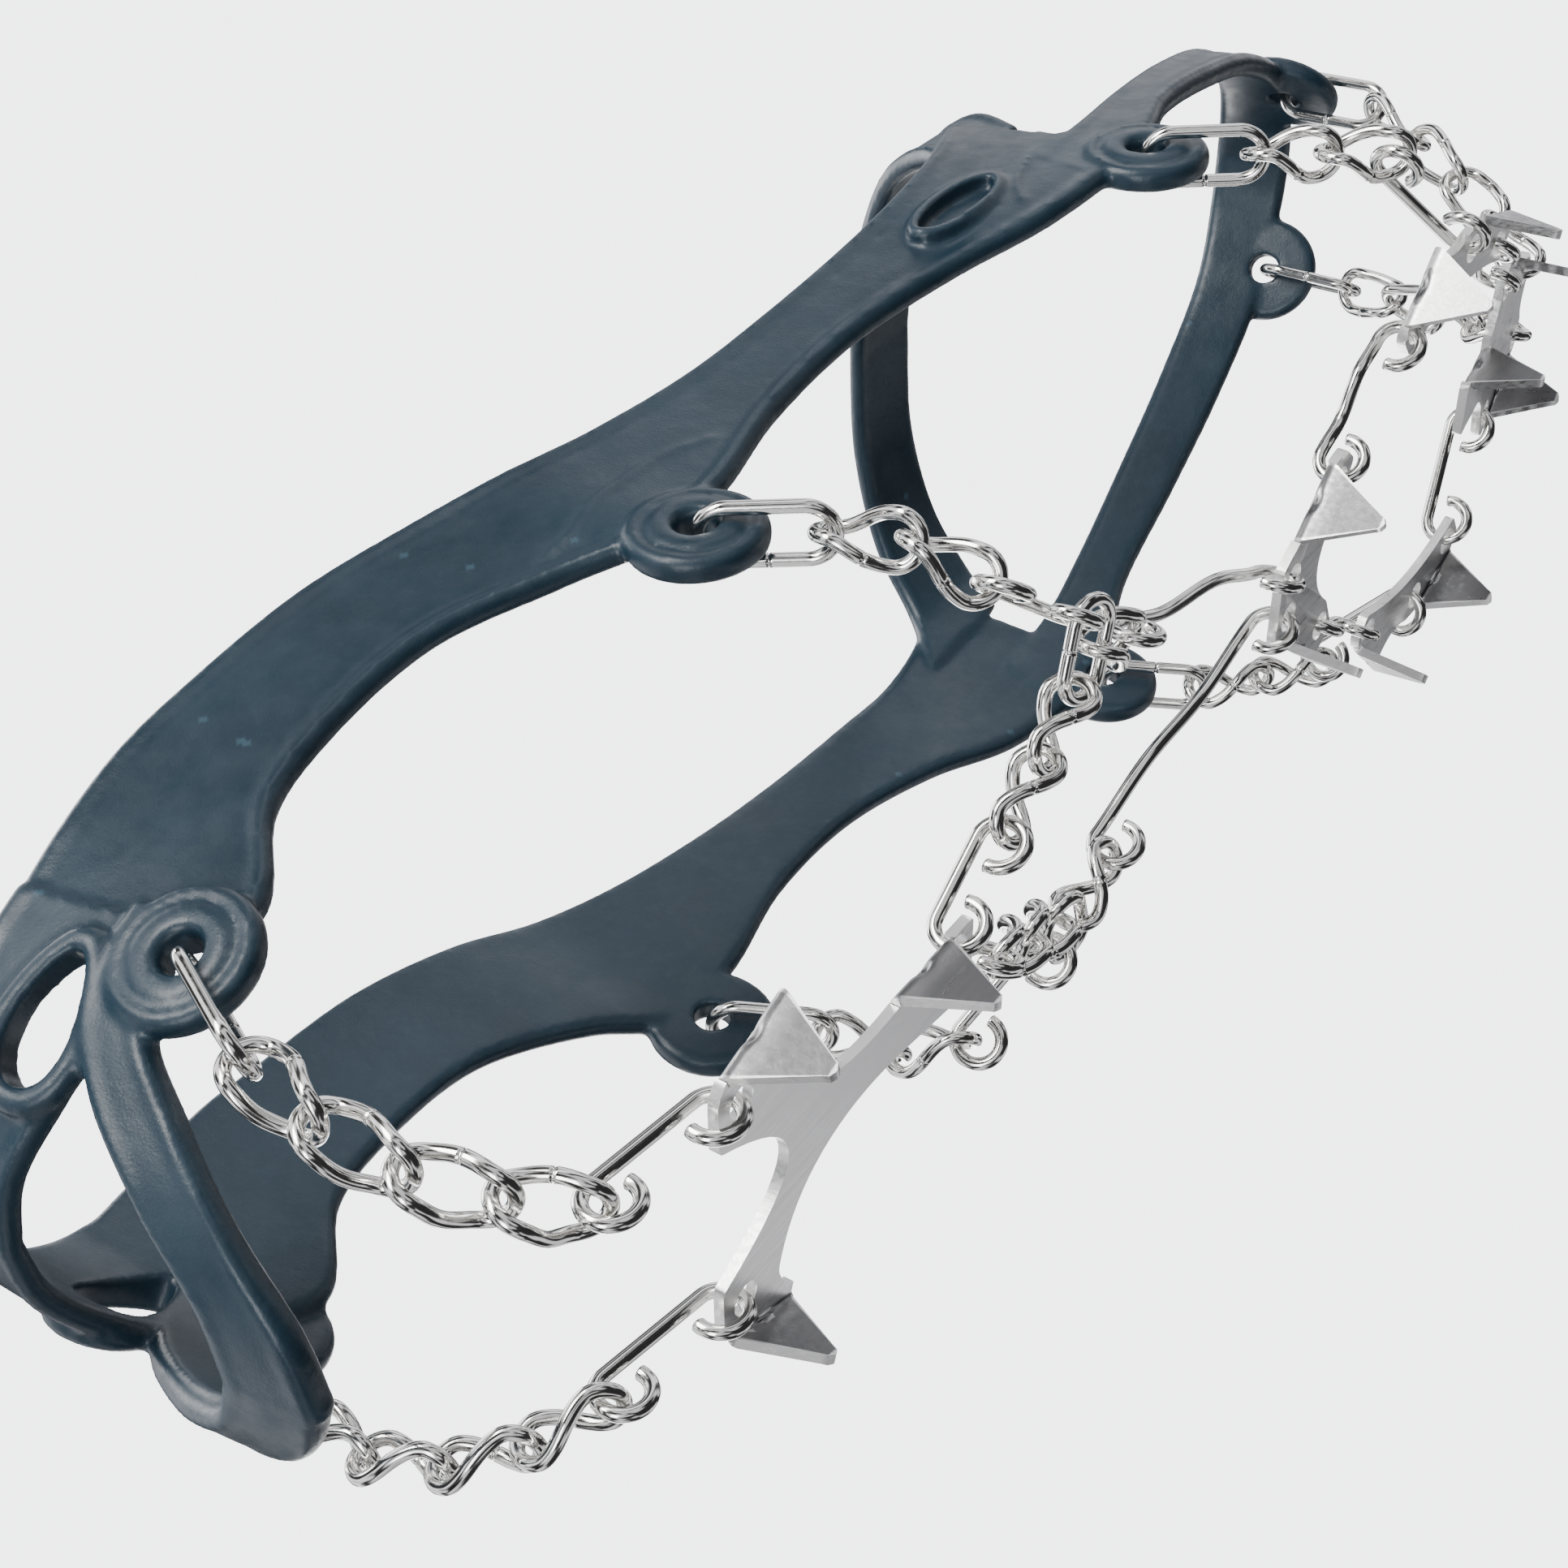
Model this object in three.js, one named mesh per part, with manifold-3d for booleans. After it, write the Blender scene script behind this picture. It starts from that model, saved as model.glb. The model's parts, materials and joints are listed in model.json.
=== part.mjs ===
// Slip-on ice cleats for one boot: a moulded rubber harness carries chains that hold five
// spiked steel plates under the sole.  Millimetres; +X points to the toe, +Y to the far side,
// +Z up; the origin is the middle of the sole, in the plane of the plates.
import * as THREE from 'three';
import { mergeVertices } from 'three/addons/utils/BufferGeometryUtils.js';
import Module from 'manifold-3d';

const wasm = await Module();
wasm.setup();

// ---- driving dimensions -------------------------------------------------------------------
const WIRE = 2.0;               // chain and connector wire diameter
const WIRE_GAP = 0.75;          // clearance where two wires hook together
const HOOK = WIRE + WIRE_GAP;   // distance between the centre lines of two hooked wires
const LINK_HALF = 7.0;          // centre-line half length of a chain link
const LINK_RADIUS = 3.5;        // centre-line end radius of a chain link
const LINK_SKEW = THREE.MathUtils.degToRad(20);  // how far a run's ends lean off square
const LINK_TWIST_LEAST = THREE.MathUtils.degToRad(30);
const LINK_TWIST_MOST = THREE.MathUtils.degToRad(130);
const EYELET_LINK_HALF = 9.0;   // the long links that pass through the rubber eyelets
const EYELET_LINK_RADIUS = 4.0;
const CURL_RADIUS = 3.4;        // centre-line radius of a connector's curled loops
const CURL_SWEEP = THREE.MathUtils.degToRad(282);
const WAVE_HEIGHT = 1.5;        // sideways wave of the kinked connectors
const PLATE_THICKNESS = 1.5;
const PLATE_HOLE_RADIUS = 2.4;
const LOOP_HEIGHT = 0.6;        // a connector loop's centre above the plate's mid plane
const TOE_TILT = THREE.MathUtils.degToRad(9);   // the toe plate follows the sole's upturn
const TOE_HINGE_X = 112;
const SPIKE_WIDTH = 13.0;       // at the bend
const SPIKE_HEIGHT = 11.0;
const SPIKE_TIP_RADIUS = 1.1;
const BAND_THICKNESS = 3.2;
const LOBE_RADIUS = 9.3;        // round end of an eyelet lobe
const LOBE_THICKNESS = 3.9;
const EYELET_RADIUS = 2.7;
const WIRE_SIDES = 6;
const RING_STEPS = 18;

const PITCH = 2 * LINK_HALF - HOOK;          // joint to joint along a chain
const CURL_REACH = CURL_RADIUS - HOOK / 2;   // loop centre to the hooking point

// ---- materials ----------------------------------------------------------------------------
const rubber = new THREE.MeshStandardMaterial({ color: 0x3f566b, roughness: 0.55, metalness: 0 });
const polished = new THREE.MeshStandardMaterial({ color: 0xd8dadc, roughness: 0.18, metalness: 1 });
const brushed = new THREE.MeshStandardMaterial({ color: 0xb4b7ba, roughness: 0.4, metalness: 1 });

const cleats = new THREE.Group();
cleats.name = 'shoe_ice_cleats';

const vec = (p) => new THREE.Vector3(...p);
const DOWN = vec([0, 0, -1]);
const UP = vec([0, 0, 1]);

// ---- solids -------------------------------------------------------------------------------
function toSolid(geometry) {
  const bare = geometry.clone();
  bare.deleteAttribute('normal');
  bare.deleteAttribute('uv');
  const merged = mergeVertices(bare, 1e-4);
  return new wasm.Manifold(new wasm.Mesh({
    numProp: 3,
    vertProperties: new Float32Array(merged.attributes.position.array),
    triVerts: new Uint32Array(merged.index.array),
  }));
}

function toGeometry(solid) {
  const mesh = solid.getMesh();
  const geometry = new THREE.BufferGeometry();
  geometry.setAttribute('position', new THREE.BufferAttribute(mesh.vertProperties, 3));
  geometry.setIndex(new THREE.BufferAttribute(mesh.triVerts, 1));
  geometry.computeVertexNormals();
  return geometry;
}

function addMesh(name, geometry, material) {
  const mesh = new THREE.Mesh(geometry, material);
  mesh.name = name;
  cleats.add(mesh);
}

// Everything but the harness and the three middle plates comes in a mirrored pair.
function addPair(name, geometry, material) {
  addMesh(`${name}_near`, geometry, material);
  addMesh(`${name}_far`, toGeometry(toSolid(geometry).mirror([0, 1, 0])), material);
}

// A frame whose X runs along `along` and whose Z is as near to `normal` as that allows.
function frameOf(along, normal, origin = new THREE.Vector3()) {
  const x = along.clone().normalize();
  const z = normal.clone().addScaledVector(x, -normal.dot(x)).normalize();
  const y = new THREE.Vector3().crossVectors(z, x);
  return new THREE.Matrix4().makeBasis(x, y, z).setPosition(origin);
}

// ---- wire pieces --------------------------------------------------------------------------
// A racetrack of half length `half` and end radius `radius` in the XY plane, twisted about X
// from `startTwist` at -half to `endTwist` at +half.
class LinkCurve extends THREE.Curve {
  constructor(half, radius, startTwist, endTwist, placement) {
    super();
    Object.assign(this, { half, radius, startTwist, endTwist, placement });
  }
  getPoint(t, target = new THREE.Vector3()) {
    const straight = this.half - this.radius;
    const bend = Math.PI * this.radius;
    const total = 4 * straight + 2 * bend;
    let s = ((t % 1) + 1) % 1 * total;
    let x, y;
    if (s < 2 * straight) {
      [x, y] = [s - straight, -this.radius];
    } else if (s < 2 * straight + bend) {
      const a = (s - 2 * straight) / this.radius;
      [x, y] = [straight + this.radius * Math.sin(a), -this.radius * Math.cos(a)];
    } else if (s < 4 * straight + bend) {
      [x, y] = [3 * straight + bend - s, this.radius];
    } else {
      const a = (s - 4 * straight - bend) / this.radius;
      [x, y] = [-straight - this.radius * Math.sin(a), this.radius * Math.cos(a)];
    }
    const blend = THREE.MathUtils.smoothstep(x, -straight - 0.01, straight + 0.01);
    const twist = this.startTwist + (this.endTwist - this.startTwist) * blend;
    target.set(x, y * Math.cos(twist), y * Math.sin(twist));
    return target.applyMatrix4(this.placement);
  }
}

function addRing(name, from, to, normal, radius, twists) {
  const span = to.clone().sub(from);
  const half = (span.length() + HOOK) / 2;
  const middle = from.clone().lerp(to, 0.5);
  const placement = frameOf(span, normal, middle);
  const curve = new LinkCurve(half, radius, twists[0], twists[1], placement);
  addPair(name, new THREE.TubeGeometry(curve, RING_STEPS, WIRE / 2, WIRE_SIDES, true), polished);
}

// Chain links from joint to joint.  A run hooks into pieces that stand square to the boot,
// whose outward directions are `normals`, so each link turns a share of the quarter turns
// between them.  The first normal is carried along the run to measure the twists against.
function addLinks(name, joints, normals, startTwist = -LINK_SKEW, endTwist = LINK_SKEW) {
  const count = joints.length - 1;
  const carried = [normals[0].clone()];
  const along = new THREE.Vector3();
  for (let i = 0; i < count; i += 1) {
    along.subVectors(joints[i + 1], joints[i]).normalize();
    const last = carried[i];
    carried.push(last.clone().addScaledVector(along, -last.dot(along)).normalize());
  }
  const end = normals[1].clone().addScaledVector(along, -normals[1].dot(along));
  const sense = Math.sign(carried[count].clone().cross(end).dot(along));
  const drift = sense * carried[count].angleTo(end);
  let total = (count - 1) * Math.PI / 2 + endTwist - startTwist + drift;
  while (total / count > LINK_TWIST_MOST) total -= Math.PI;
  while (total / count < LINK_TWIST_LEAST) total += Math.PI;
  const turn = total / count;
  for (let i = 0; i < count; i += 1) {
    const start = startTwist + i * (turn - Math.PI / 2);
    addRing(`${name}_${i + 1}`, joints[i], joints[i + 1], carried[i + 1], LINK_RADIUS,
      [start, start + turn]);
  }
}

// Joints of a slack run of `count` links between two points, bowed towards `slack`.
function slackRun(from, to, count, slack) {
  let curve;
  for (let bow = 0; bow < 60; bow += 0.25) {
    const middle = from.clone().lerp(to, 0.5).addScaledVector(slack, bow);
    curve = new THREE.QuadraticBezierCurve3(from, middle, to);
    if (curve.getLength() >= count * PITCH * 1.004) break;
  }
  return curve.getSpacedPoints(count);
}

// An open connector: a shank with a curl at each end, in the plane of its shank and `side`.
// The curls hang on the side away from `side`; `wave` kinks the shank sideways.
function addConnector(name, first, second, side, wave = 0) {
  const span = second.clone().sub(first);
  const length = span.length();
  const place = frameOf(span, side, first);
  const steps = 8;
  const points = [];
  for (let i = 0; i <= steps; i += 1) {
    const a = CURL_SWEEP * (1 - i / steps);
    points.push([-CURL_RADIUS * Math.sin(a), 0, CURL_RADIUS * Math.cos(a)]);
  }
  const shankSteps = wave ? 8 : 2;
  for (let i = 1; i < shankSteps; i += 1) {
    const u = i / shankSteps;
    const sway = wave * Math.sin(2 * Math.PI * u) * Math.sin(Math.PI * u);
    points.push([length * u, sway, CURL_RADIUS]);
  }
  for (let i = 0; i <= steps; i += 1) {
    const a = CURL_SWEEP * i / steps;
    points.push([length + CURL_RADIUS * Math.sin(a), 0, CURL_RADIUS * Math.cos(a)]);
  }
  const path = new THREE.CatmullRomCurve3(points.map((p) => vec(p).applyMatrix4(place)));
  const section = new THREE.Shape(Array.from({ length: WIRE_SIDES }, (_, i) => {
    const a = (i / WIRE_SIDES) * 2 * Math.PI;
    return new THREE.Vector2(Math.cos(a) * WIRE / 2, Math.sin(a) * WIRE / 2);
  }));
  const options = { steps: points.length, extrudePath: path, bevelEnabled: false };
  addPair(name, new THREE.ExtrudeGeometry(section, options), polished);
}

// ---- plates -------------------------------------------------------------------------------
// A spike is a triangle of the sheet bent square to the plate along a line centred at (x, y).
function spikeSolid([x, y, angle]) {
  const half = SPIKE_WIDTH / 2;
  const shape = new THREE.Shape();
  shape.moveTo(-half, 0);
  shape.lineTo(-SPIKE_TIP_RADIUS, SPIKE_TIP_RADIUS - SPIKE_HEIGHT);
  shape.quadraticCurveTo(0, -SPIKE_HEIGHT - 0.6, SPIKE_TIP_RADIUS, SPIKE_TIP_RADIUS - SPIKE_HEIGHT);
  shape.lineTo(half, 0);
  shape.lineTo(half, PLATE_THICKNESS);
  shape.lineTo(-half, PLATE_THICKNESS);
  shape.closePath();
  const geometry = new THREE.ExtrudeGeometry(shape, {
    depth: PLATE_THICKNESS, bevelEnabled: false, curveSegments: 3,
  });
  geometry.translate(0, 0, -PLATE_THICKNESS / 2);
  geometry.rotateX(Math.PI / 2);
  geometry.rotateZ(THREE.MathUtils.degToRad(angle));
  geometry.translate(x, y, -PLATE_THICKNESS / 2);
  return toSolid(geometry);
}

// Sheet outline: each entry is a corner [x, y], or [x, y, cx, cy] for a hollow curve.
function plateGeometry({ outline, spikes, holes }) {
  const shape = new THREE.Shape();
  shape.moveTo(outline[0][0], outline[0][1]);
  for (const [x, y, cx, cy] of outline.slice(1)) {
    if (cx === undefined) shape.lineTo(x, y);
    else shape.quadraticCurveTo(cx, cy, x, y);
  }
  shape.closePath();
  const sheet = new THREE.ExtrudeGeometry(shape, {
    depth: PLATE_THICKNESS, bevelEnabled: false, curveSegments: 7,
  });
  sheet.translate(0, 0, -PLATE_THICKNESS / 2);
  let solid = toSolid(sheet);
  for (const spike of spikes) {
    solid = solid.add(spikeSolid(spike));
  }
  for (const [x, y] of holes) {
    const drill = new THREE.CylinderGeometry(PLATE_HOLE_RADIUS, PLATE_HOLE_RADIUS, 6, 14);
    drill.rotateX(Math.PI / 2);
    drill.translate(x, y, 0);
    solid = solid.subtract(toSolid(drill));
  }
  return toGeometry(solid);
}

const flip = (entry) => entry.map((value, i) => (i % 2 === 1 ? -value : value));

const heelHole = [-102.6, -17];
const heelFrontHole = [-54.5, -3.1];
const ballRearHole = [43.5, -3.6];
const ballFrontHole = [57, -13.5];
const sideRearHole = [79.7, -28.6];
const sideOuterHole = [100, -33.3];
const sideFrontHole = [112, -28.8];
const toeSideHole = [128.5, -12.3];
const toeFrontHole = [146, -6.5];

const heelPlate = {
  outline: [
    [-50.4, -6], [-50.4, 6], [-56, 6], [-68, 4.3], [-95.5, 19, -91, 1.5], [-92.7, 26.7],
    [-105.6, 22.5], [-107.2, 20], [-107.2, 12], [-107.2, -12, -79, 0], [-107.2, -20],
    [-105.6, -22.5], [-92.7, -26.7], [-95.5, -19], [-68, -4.3, -91, -1.5], [-56, -6],
  ],
  spikes: [[-99.2, -24.6, -18], [-99.2, 24.6, 18], [-61.8, -5.2, 0]],
  holes: [heelHole, flip(heelHole), heelFrontHole, flip(heelFrontHole)],
};
const ballPlate = {
  outline: [
    [39.5, -6.8], [39.5, 6.8], [44.4, 9.5], [54.4, 17.9], [58, 18.6], [61.4, 15.4], [58.5, 9.5],
    [58.5, -9.5, 47, 0], [61.4, -15.4], [58, -18.6], [54.4, -17.9], [44.4, -9.5],
  ],
  spikes: [[49.4, -13.7, -40], [49.4, 13.7, 40]],
  holes: [ballRearHole, flip(ballRearHole), ballFrontHole, flip(ballFrontHole)],
};
const sidePlate = {
  outline: [
    [76.6, -30.5], [75.8, -28], [78.5, -24.6], [113.8, -24.9, 97, -31], [116.5, -29],
    [114.6, -32.8], [102.4, -37.2], [97, -37], [85.8, -39.7, 91, -34],
  ],
  spikes: [[81.2, -35.1, -45], [108.5, -35, 20]],
  holes: [sideRearHole, sideOuterHole, sideFrontHole],
};
const toePlate = {
  outline: [
    [107, -4.8], [107, 4.8], [119, 5], [125, 12, 123, 6.5], [126.3, 15.8], [129, 17],
    [132.3, 15.4], [143.7, 9.1], [146.6, 10], [149.1, 8], [148.8, 4], [148.8, -4, 145.5, 0],
    [149.1, -8], [146.6, -10], [143.7, -9.1], [132.3, -15.4], [129, -17], [126.3, -15.8],
    [125, -12], [119, -5, 123, -6.5],
  ],
  spikes: [[138, -12.2, 29], [138, 12.2, -29], [115, -4.1, 0]],
  holes: [toeSideHole, flip(toeSideHole), toeFrontHole, flip(toeFrontHole)],
};
// The toe plate is drawn flat and tipped up about its rear.
const toeTilt = new THREE.Matrix4().makeTranslation(TOE_HINGE_X, 0, 0)
  .multiply(new THREE.Matrix4().makeRotationY(-TOE_TILT))
  .multiply(new THREE.Matrix4().makeTranslation(-TOE_HINGE_X, 0, 0));

addMesh('heel_plate', plateGeometry(heelPlate), brushed);
addMesh('ball_plate', plateGeometry(ballPlate), brushed);
addPair('side_plate', plateGeometry(sidePlate), brushed);
addMesh('toe_plate', plateGeometry(toePlate).applyMatrix4(toeTilt), brushed);

// ---- harness ------------------------------------------------------------------------------
// A ribbon of the rubber: each station is a [lower, upper] pair of points across the ribbon.
function ribbonSolid(stations, along, across) {
  const edges = [0, 1].map((k) => new THREE.CatmullRomCurve3(stations.map((pair) => vec(pair[k]))));
  const place = (u, v) => {
    const low = edges[0].getPoint(u);
    return low.lerp(edges[1].getPoint(u), v);
  };
  const box = new THREE.BoxGeometry(1, 1, 1, along, across, 1);
  const position = box.attributes.position;
  for (let i = 0; i < position.count; i += 1) {
    const u = position.getX(i) + 0.5;
    const v = position.getY(i) + 0.5;
    const tangent = place(Math.min(u + 0.01, 1), v).sub(place(Math.max(u - 0.01, 0), v));
    const width = place(u, 1).sub(place(u, 0));
    const normal = tangent.cross(width).normalize();
    const p = place(u, v).addScaledVector(normal, position.getZ(i) * BAND_THICKNESS);
    position.setXYZ(i, p.x, p.y, p.z);
  }
  return toSolid(box);
}

function peg(radius, length, centre, axis, stretch = 1, sides = 18) {
  const cylinder = new THREE.CylinderGeometry(radius, radius, length, sides);
  cylinder.rotateX(Math.PI / 2);
  cylinder.scale(stretch, 1, 1);
  const along = new THREE.Vector3().crossVectors(UP, axis);
  cylinder.applyMatrix4(frameOf(along, axis, centre));
  return toSolid(cylinder);
}

const flank = [
  [[-133, -30.8, 54], [-136.6, -26.5, 81]],
  [[-121, -33.5, 52], [-122, -30, 85]],
  [[-107.6, -34.5, 62], [-108, -32, 88]],
  [[-96, -35.5, 65], [-96, -33.5, 88.5]],
  [[-74.6, -37.5, 65], [-75, -35.5, 88]],
  [[-57.7, -40, 57], [-58, -37.5, 84]],
  [[-47, -43, 49.5], [-45, -40, 79]],
  [[-33, -43, 49.5], [-31, -41, 74.5]],
  [[-14, -43.3, 53.7], [-12, -42, 71]],
  [[7.7, -44.7, 54.5], [7, -43.6, 69.7]],
  [[27.8, -46.7, 50.6], [27, -45.2, 69.5]],
  [[44, -49, 45], [42, -46.7, 70]],
  [[60, -50, 43], [56, -46.7, 72.5]],
  [[73, -49.8, 43], [68, -45.2, 76.5]],
];
const heelBand = [
  [[-128, -32, 60], [-130, -29, 83]],
  [[-139, -27.5, 59], [-140, -24.5, 82]],
  [[-147, -19.5, 61], [-148, -18, 82]],
  [[-153, -10, 64], [-153, -9.5, 84]],
  [[-155, 0.5, 65], [-155, 0.5, 86]],
];
const heelBar = [
  [[-128, -32.5, 57], [-127, -32.5, 66]],
  [[-138, -28.5, 54], [-137.5, -28, 65]],
  [[-144.7, -23.5, 43.5], [-146, -22, 57]],
  [[-149.5, -17.5, 33], [-151.5, -16.5, 46]],
  [[-152, -9, 23], [-154, -8.5, 36]],
  [[-152.5, 0.5, 19.5], [-154.5, 0.5, 33]],
];
const toeBar = [
  [[58, -49.7, 44], [60, -48.3, 57]],
  [[76, -49, 45], [77, -47.3, 58]],
  [[93.5, -46.3, 50.5], [92, -45, 60.5]],
  [[117, -41, 54], [116, -39.5, 65]],
  [[140, -33.5, 57], [139, -32, 69]],
  [[160, -22, 59.5], [158, -20.5, 72]],
  [[170, -9, 61.5], [167.5, -8, 75]],
  [[172.5, 0.5, 62], [170, 0.5, 76]],
];
const instepStrap = [
  [[50, -47, 66], [73, -46, 66]],
  [[60, -43.8, 76], [78, -43.3, 76]],
  [[64, -36, 85], [80, -35.5, 84]],
  [[66, -20, 91], [81, -20, 90]],
  [[67, 0.5, 93], [82, 0.5, 92]],
];

// Eyelets: hole centre, outward normal of the rubber, direction the long link hangs in.
const eyelets = {
  heel: { hole: [-131, -32.3, 55], normal: [-0.35, -0.93, 0.1], hang: [-0.397, 0.18, -0.9] },
  mid: { hole: [-44, -43.6, 46], normal: [0, -1, 0.08], hang: [0.5, 0, -0.86] },
  ball: { hole: [69, -50, 42], normal: [0.02, -1, 0.08], hang: [0.51, 0, -0.86] },
  toe: { hole: [163.5, -18.4, 60.5], normal: [0.8, -0.6, 0.12], hang: [0.12, 0, -0.99] },
};

let half = ribbonSolid(flank, 26, 2);
half = half.add(ribbonSolid(heelBand, 8, 1));
half = half.add(ribbonSolid(heelBar, 9, 1));
half = half.add(ribbonSolid(toeBar, 14, 1));
half = half.add(ribbonSolid(instepStrap, 8, 1));
for (const { hole, normal } of Object.values(eyelets)) {
  half = half.add(peg(LOBE_RADIUS, LOBE_THICKNESS, vec(hole), vec(normal).normalize()));
}
for (const { hole, normal } of Object.values(eyelets)) {
  half = half.subtract(peg(EYELET_RADIUS, 12, vec(hole), vec(normal).normalize(), 1, 14));
}
const pullHole = vec([-141.5, -25, 67]);
half = half.subtract(peg(4, 14, pullHole, vec([-0.6, -0.8, 0]).normalize(), 2.1, 18));
const recess = vec([41, -49.6, 58.6]);
half = half.subtract(peg(4.5, 3, recess, vec([0, -1, 0.12]).normalize(), 2.4, 18));
const harness = half.add(half.mirror([0, 1, 0]));
addMesh('rubber_harness', toGeometry(harness), rubber);

// ---- chains and connectors (near side; each is mirrored to the far side) --------------------
const holeAt = ([x, y]) => vec([x, y, 0]);
const onToe = (hole) => holeAt(hole).applyMatrix4(toeTilt);
const towards = (from, to, reach) => from.clone().add(to.clone().sub(from).setLength(reach));

// The loop that hooks through a plate hole, for a connector that comes from `other`.
function loopAt(hole, other) {
  const reach = other.clone().sub(hole).setZ(0).setLength(CURL_RADIUS);
  return hole.clone().add(reach).add(new THREE.Vector3(0, 0, LOOP_HEIGHT));
}

// Long links through the rubber eyelets; each gives the joint the chain below starts from.
const hangers = {};
for (const [name, eyelet] of Object.entries(eyelets)) {
  const hole = vec(eyelet.hole);
  const normal = vec(eyelet.normal).normalize();
  const hang = vec(eyelet.hang);
  hang.addScaledVector(normal, -hang.dot(normal)).normalize();
  const top = hole.clone().addScaledVector(hang, HOOK / 2);
  const foot = hole.clone().addScaledVector(hang, 2 * EYELET_LINK_HALF - HOOK / 2);
  addRing(`eyelet_link_${name}`, top, foot, normal, EYELET_LINK_RADIUS, [Math.PI / 2, Math.PI / 2]);
  hangers[name] = { foot, normal };
}

// Heel: plate, straight connector, four links up to the heel eyelet.
const heelTurn = vec([-122.5, -16.5, 3]);
const heelLoop = loopAt(holeAt(heelHole), heelTurn);
addConnector('connector_heel', heelTurn, heelLoop, UP);
const heelStart = towards(heelTurn, heelLoop, -CURL_REACH);
const heelRun = slackRun(heelStart, hangers.heel.foot, 4, vec([-0.9, -0.25, -0.35]));
addLinks('chain_heel', heelRun, [DOWN, hangers.heel.normal]);

// Where a chain turns a corner in a ring's own plane, the hooked wire sits round the ring's
// end arc instead of at its tip.
const cornerShift = (pull, along) => pull.clone().sub(along)
  .multiplyScalar(LINK_RADIUS - HOOK / 2);

// Instep: two links and a connector from the mid eyelet to the hub ring.
const midLoop = vec([-28.3, -40.2, 9.6]);
const midEnd = towards(midLoop, hangers.mid.foot, CURL_REACH);
const midTurn = vec([-15.5, -29.5, 4.5]);
const midNormal = vec([0, -0.2, -1]);
const midRun = slackRun(hangers.mid.foot, midEnd, 2, vec([0, -1, -0.3]));
addLinks('chain_mid', midRun, [hangers.mid.normal, midNormal]);
addConnector('connector_mid', midLoop, towards(midTurn, midLoop, CURL_REACH),
  midNormal.clone().negate());

// The hub ring is pulled three ways, so its end arc sits round the corner of the connector.
const back = vec([-0.38, 0.92, -0.06]).normalize();
const inward = midTurn.clone().sub(midLoop).normalize();
const hubStart = midTurn.clone().add(cornerShift(inward, back));
const hubEnd = hubStart.clone().addScaledVector(back, PITCH);
addRing('hub_ring', hubStart, hubEnd, vec([-0.17, -0.2, -0.95]), LINK_RADIUS, [0, 0]);

// Two links from the hub ring back to the heel plate's front connector.
const plateEnd = holeAt(heelFrontHole);
const heelward = plateEnd.clone().sub(hubEnd).normalize();
const backStart = hubEnd.clone().add(cornerShift(heelward, back));
const backEnd = towards(backStart, plateEnd, 2 * PITCH);
const backRun = [backStart, towards(backStart, plateEnd, PITCH), backEnd];
addLinks('chain_back', backRun, [DOWN, DOWN], -Math.PI / 2);
addConnector('connector_back', towards(backEnd, plateEnd, CURL_REACH), loopAt(plateEnd, backEnd), UP);

// One link and a waved connector from the hub ring forward to the ball plate.
const forward = new THREE.Vector3().crossVectors(back, UP).normalize();
const forkStart = hubStart.clone().lerp(hubEnd, 0.5);
forkStart.addScaledVector(forward, LINK_RADIUS - HOOK / 2);
const forkEnd = forkStart.clone().addScaledVector(forward, PITCH);
addRing('chain_fork', forkStart, forkEnd, DOWN, LINK_RADIUS, [-Math.PI / 2, LINK_SKEW]);
const ballRear = holeAt(ballRearHole);
addConnector('connector_fork', towards(forkEnd, ballRear, CURL_REACH), loopAt(ballRear, forkEnd),
  UP, WAVE_HEIGHT);

// Plate to plate under the ball of the foot.
const ballFront = holeAt(ballFrontHole);
const sideRear = holeAt(sideRearHole);
addConnector('connector_ball', loopAt(ballFront, sideRear), loopAt(sideRear, ballFront),
  UP, WAVE_HEIGHT);
const sideFront = holeAt(sideFrontHole);
const toeSide = onToe(toeSideHole);
addConnector('connector_toe', loopAt(sideFront, toeSide), loopAt(toeSide, sideFront), UP);

// Ball: two links and a connector from the ball eyelet to the side plate.
const sideTurn = vec([93, -47, 11]);
const sideLoop = loopAt(holeAt(sideOuterHole), sideTurn);
const sideNormal = vec([0, -0.2, -1]);
const sideJoint = towards(sideTurn, sideLoop, -CURL_REACH);
const sideDrop = sideJoint.clone().sub(hangers.ball.foot).normalize();
const sideAlong = sideLoop.clone().sub(sideTurn).normalize();
const sideStart = sideJoint.add(cornerShift(sideDrop, sideAlong)).add(vec([0.4, 0.5, -1.5]));
const sideRun = slackRun(hangers.ball.foot, sideStart, 2, vec([0, -1, -0.3]));
addLinks('chain_side', sideRun, [hangers.ball.normal, sideNormal]);
addConnector('connector_side', sideTurn, sideLoop, sideNormal.clone().negate());

// Toe: four links from the toe eyelet, the last one hooked through the toe plate.
const toeEnd = onToe(toeFrontHole).add(vec([1.2, -0.25, -0.25]));
const toeRun = slackRun(hangers.toe.foot, toeEnd, 4, vec([0.8, -0.4, -1]));
addLinks('chain_toe', toeRun, [hangers.toe.normal, vec([0.1, 0.08, -1])], -LINK_SKEW, -Math.PI / 2);

export default cleats;
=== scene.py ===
"""Slip-on ice cleats: a moulded rubber harness, five spiked plates and the chains between them.

Lengths in the drawing data below are in millimetres, as on the part's drawing, and every mesh is
scaled by MM when it is made, so that Blender works in metres.  +X is the toe, +Y the far side.
"""
import json
import math

import bpy
import numpy as np
from mathutils import Matrix, Vector

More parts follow.
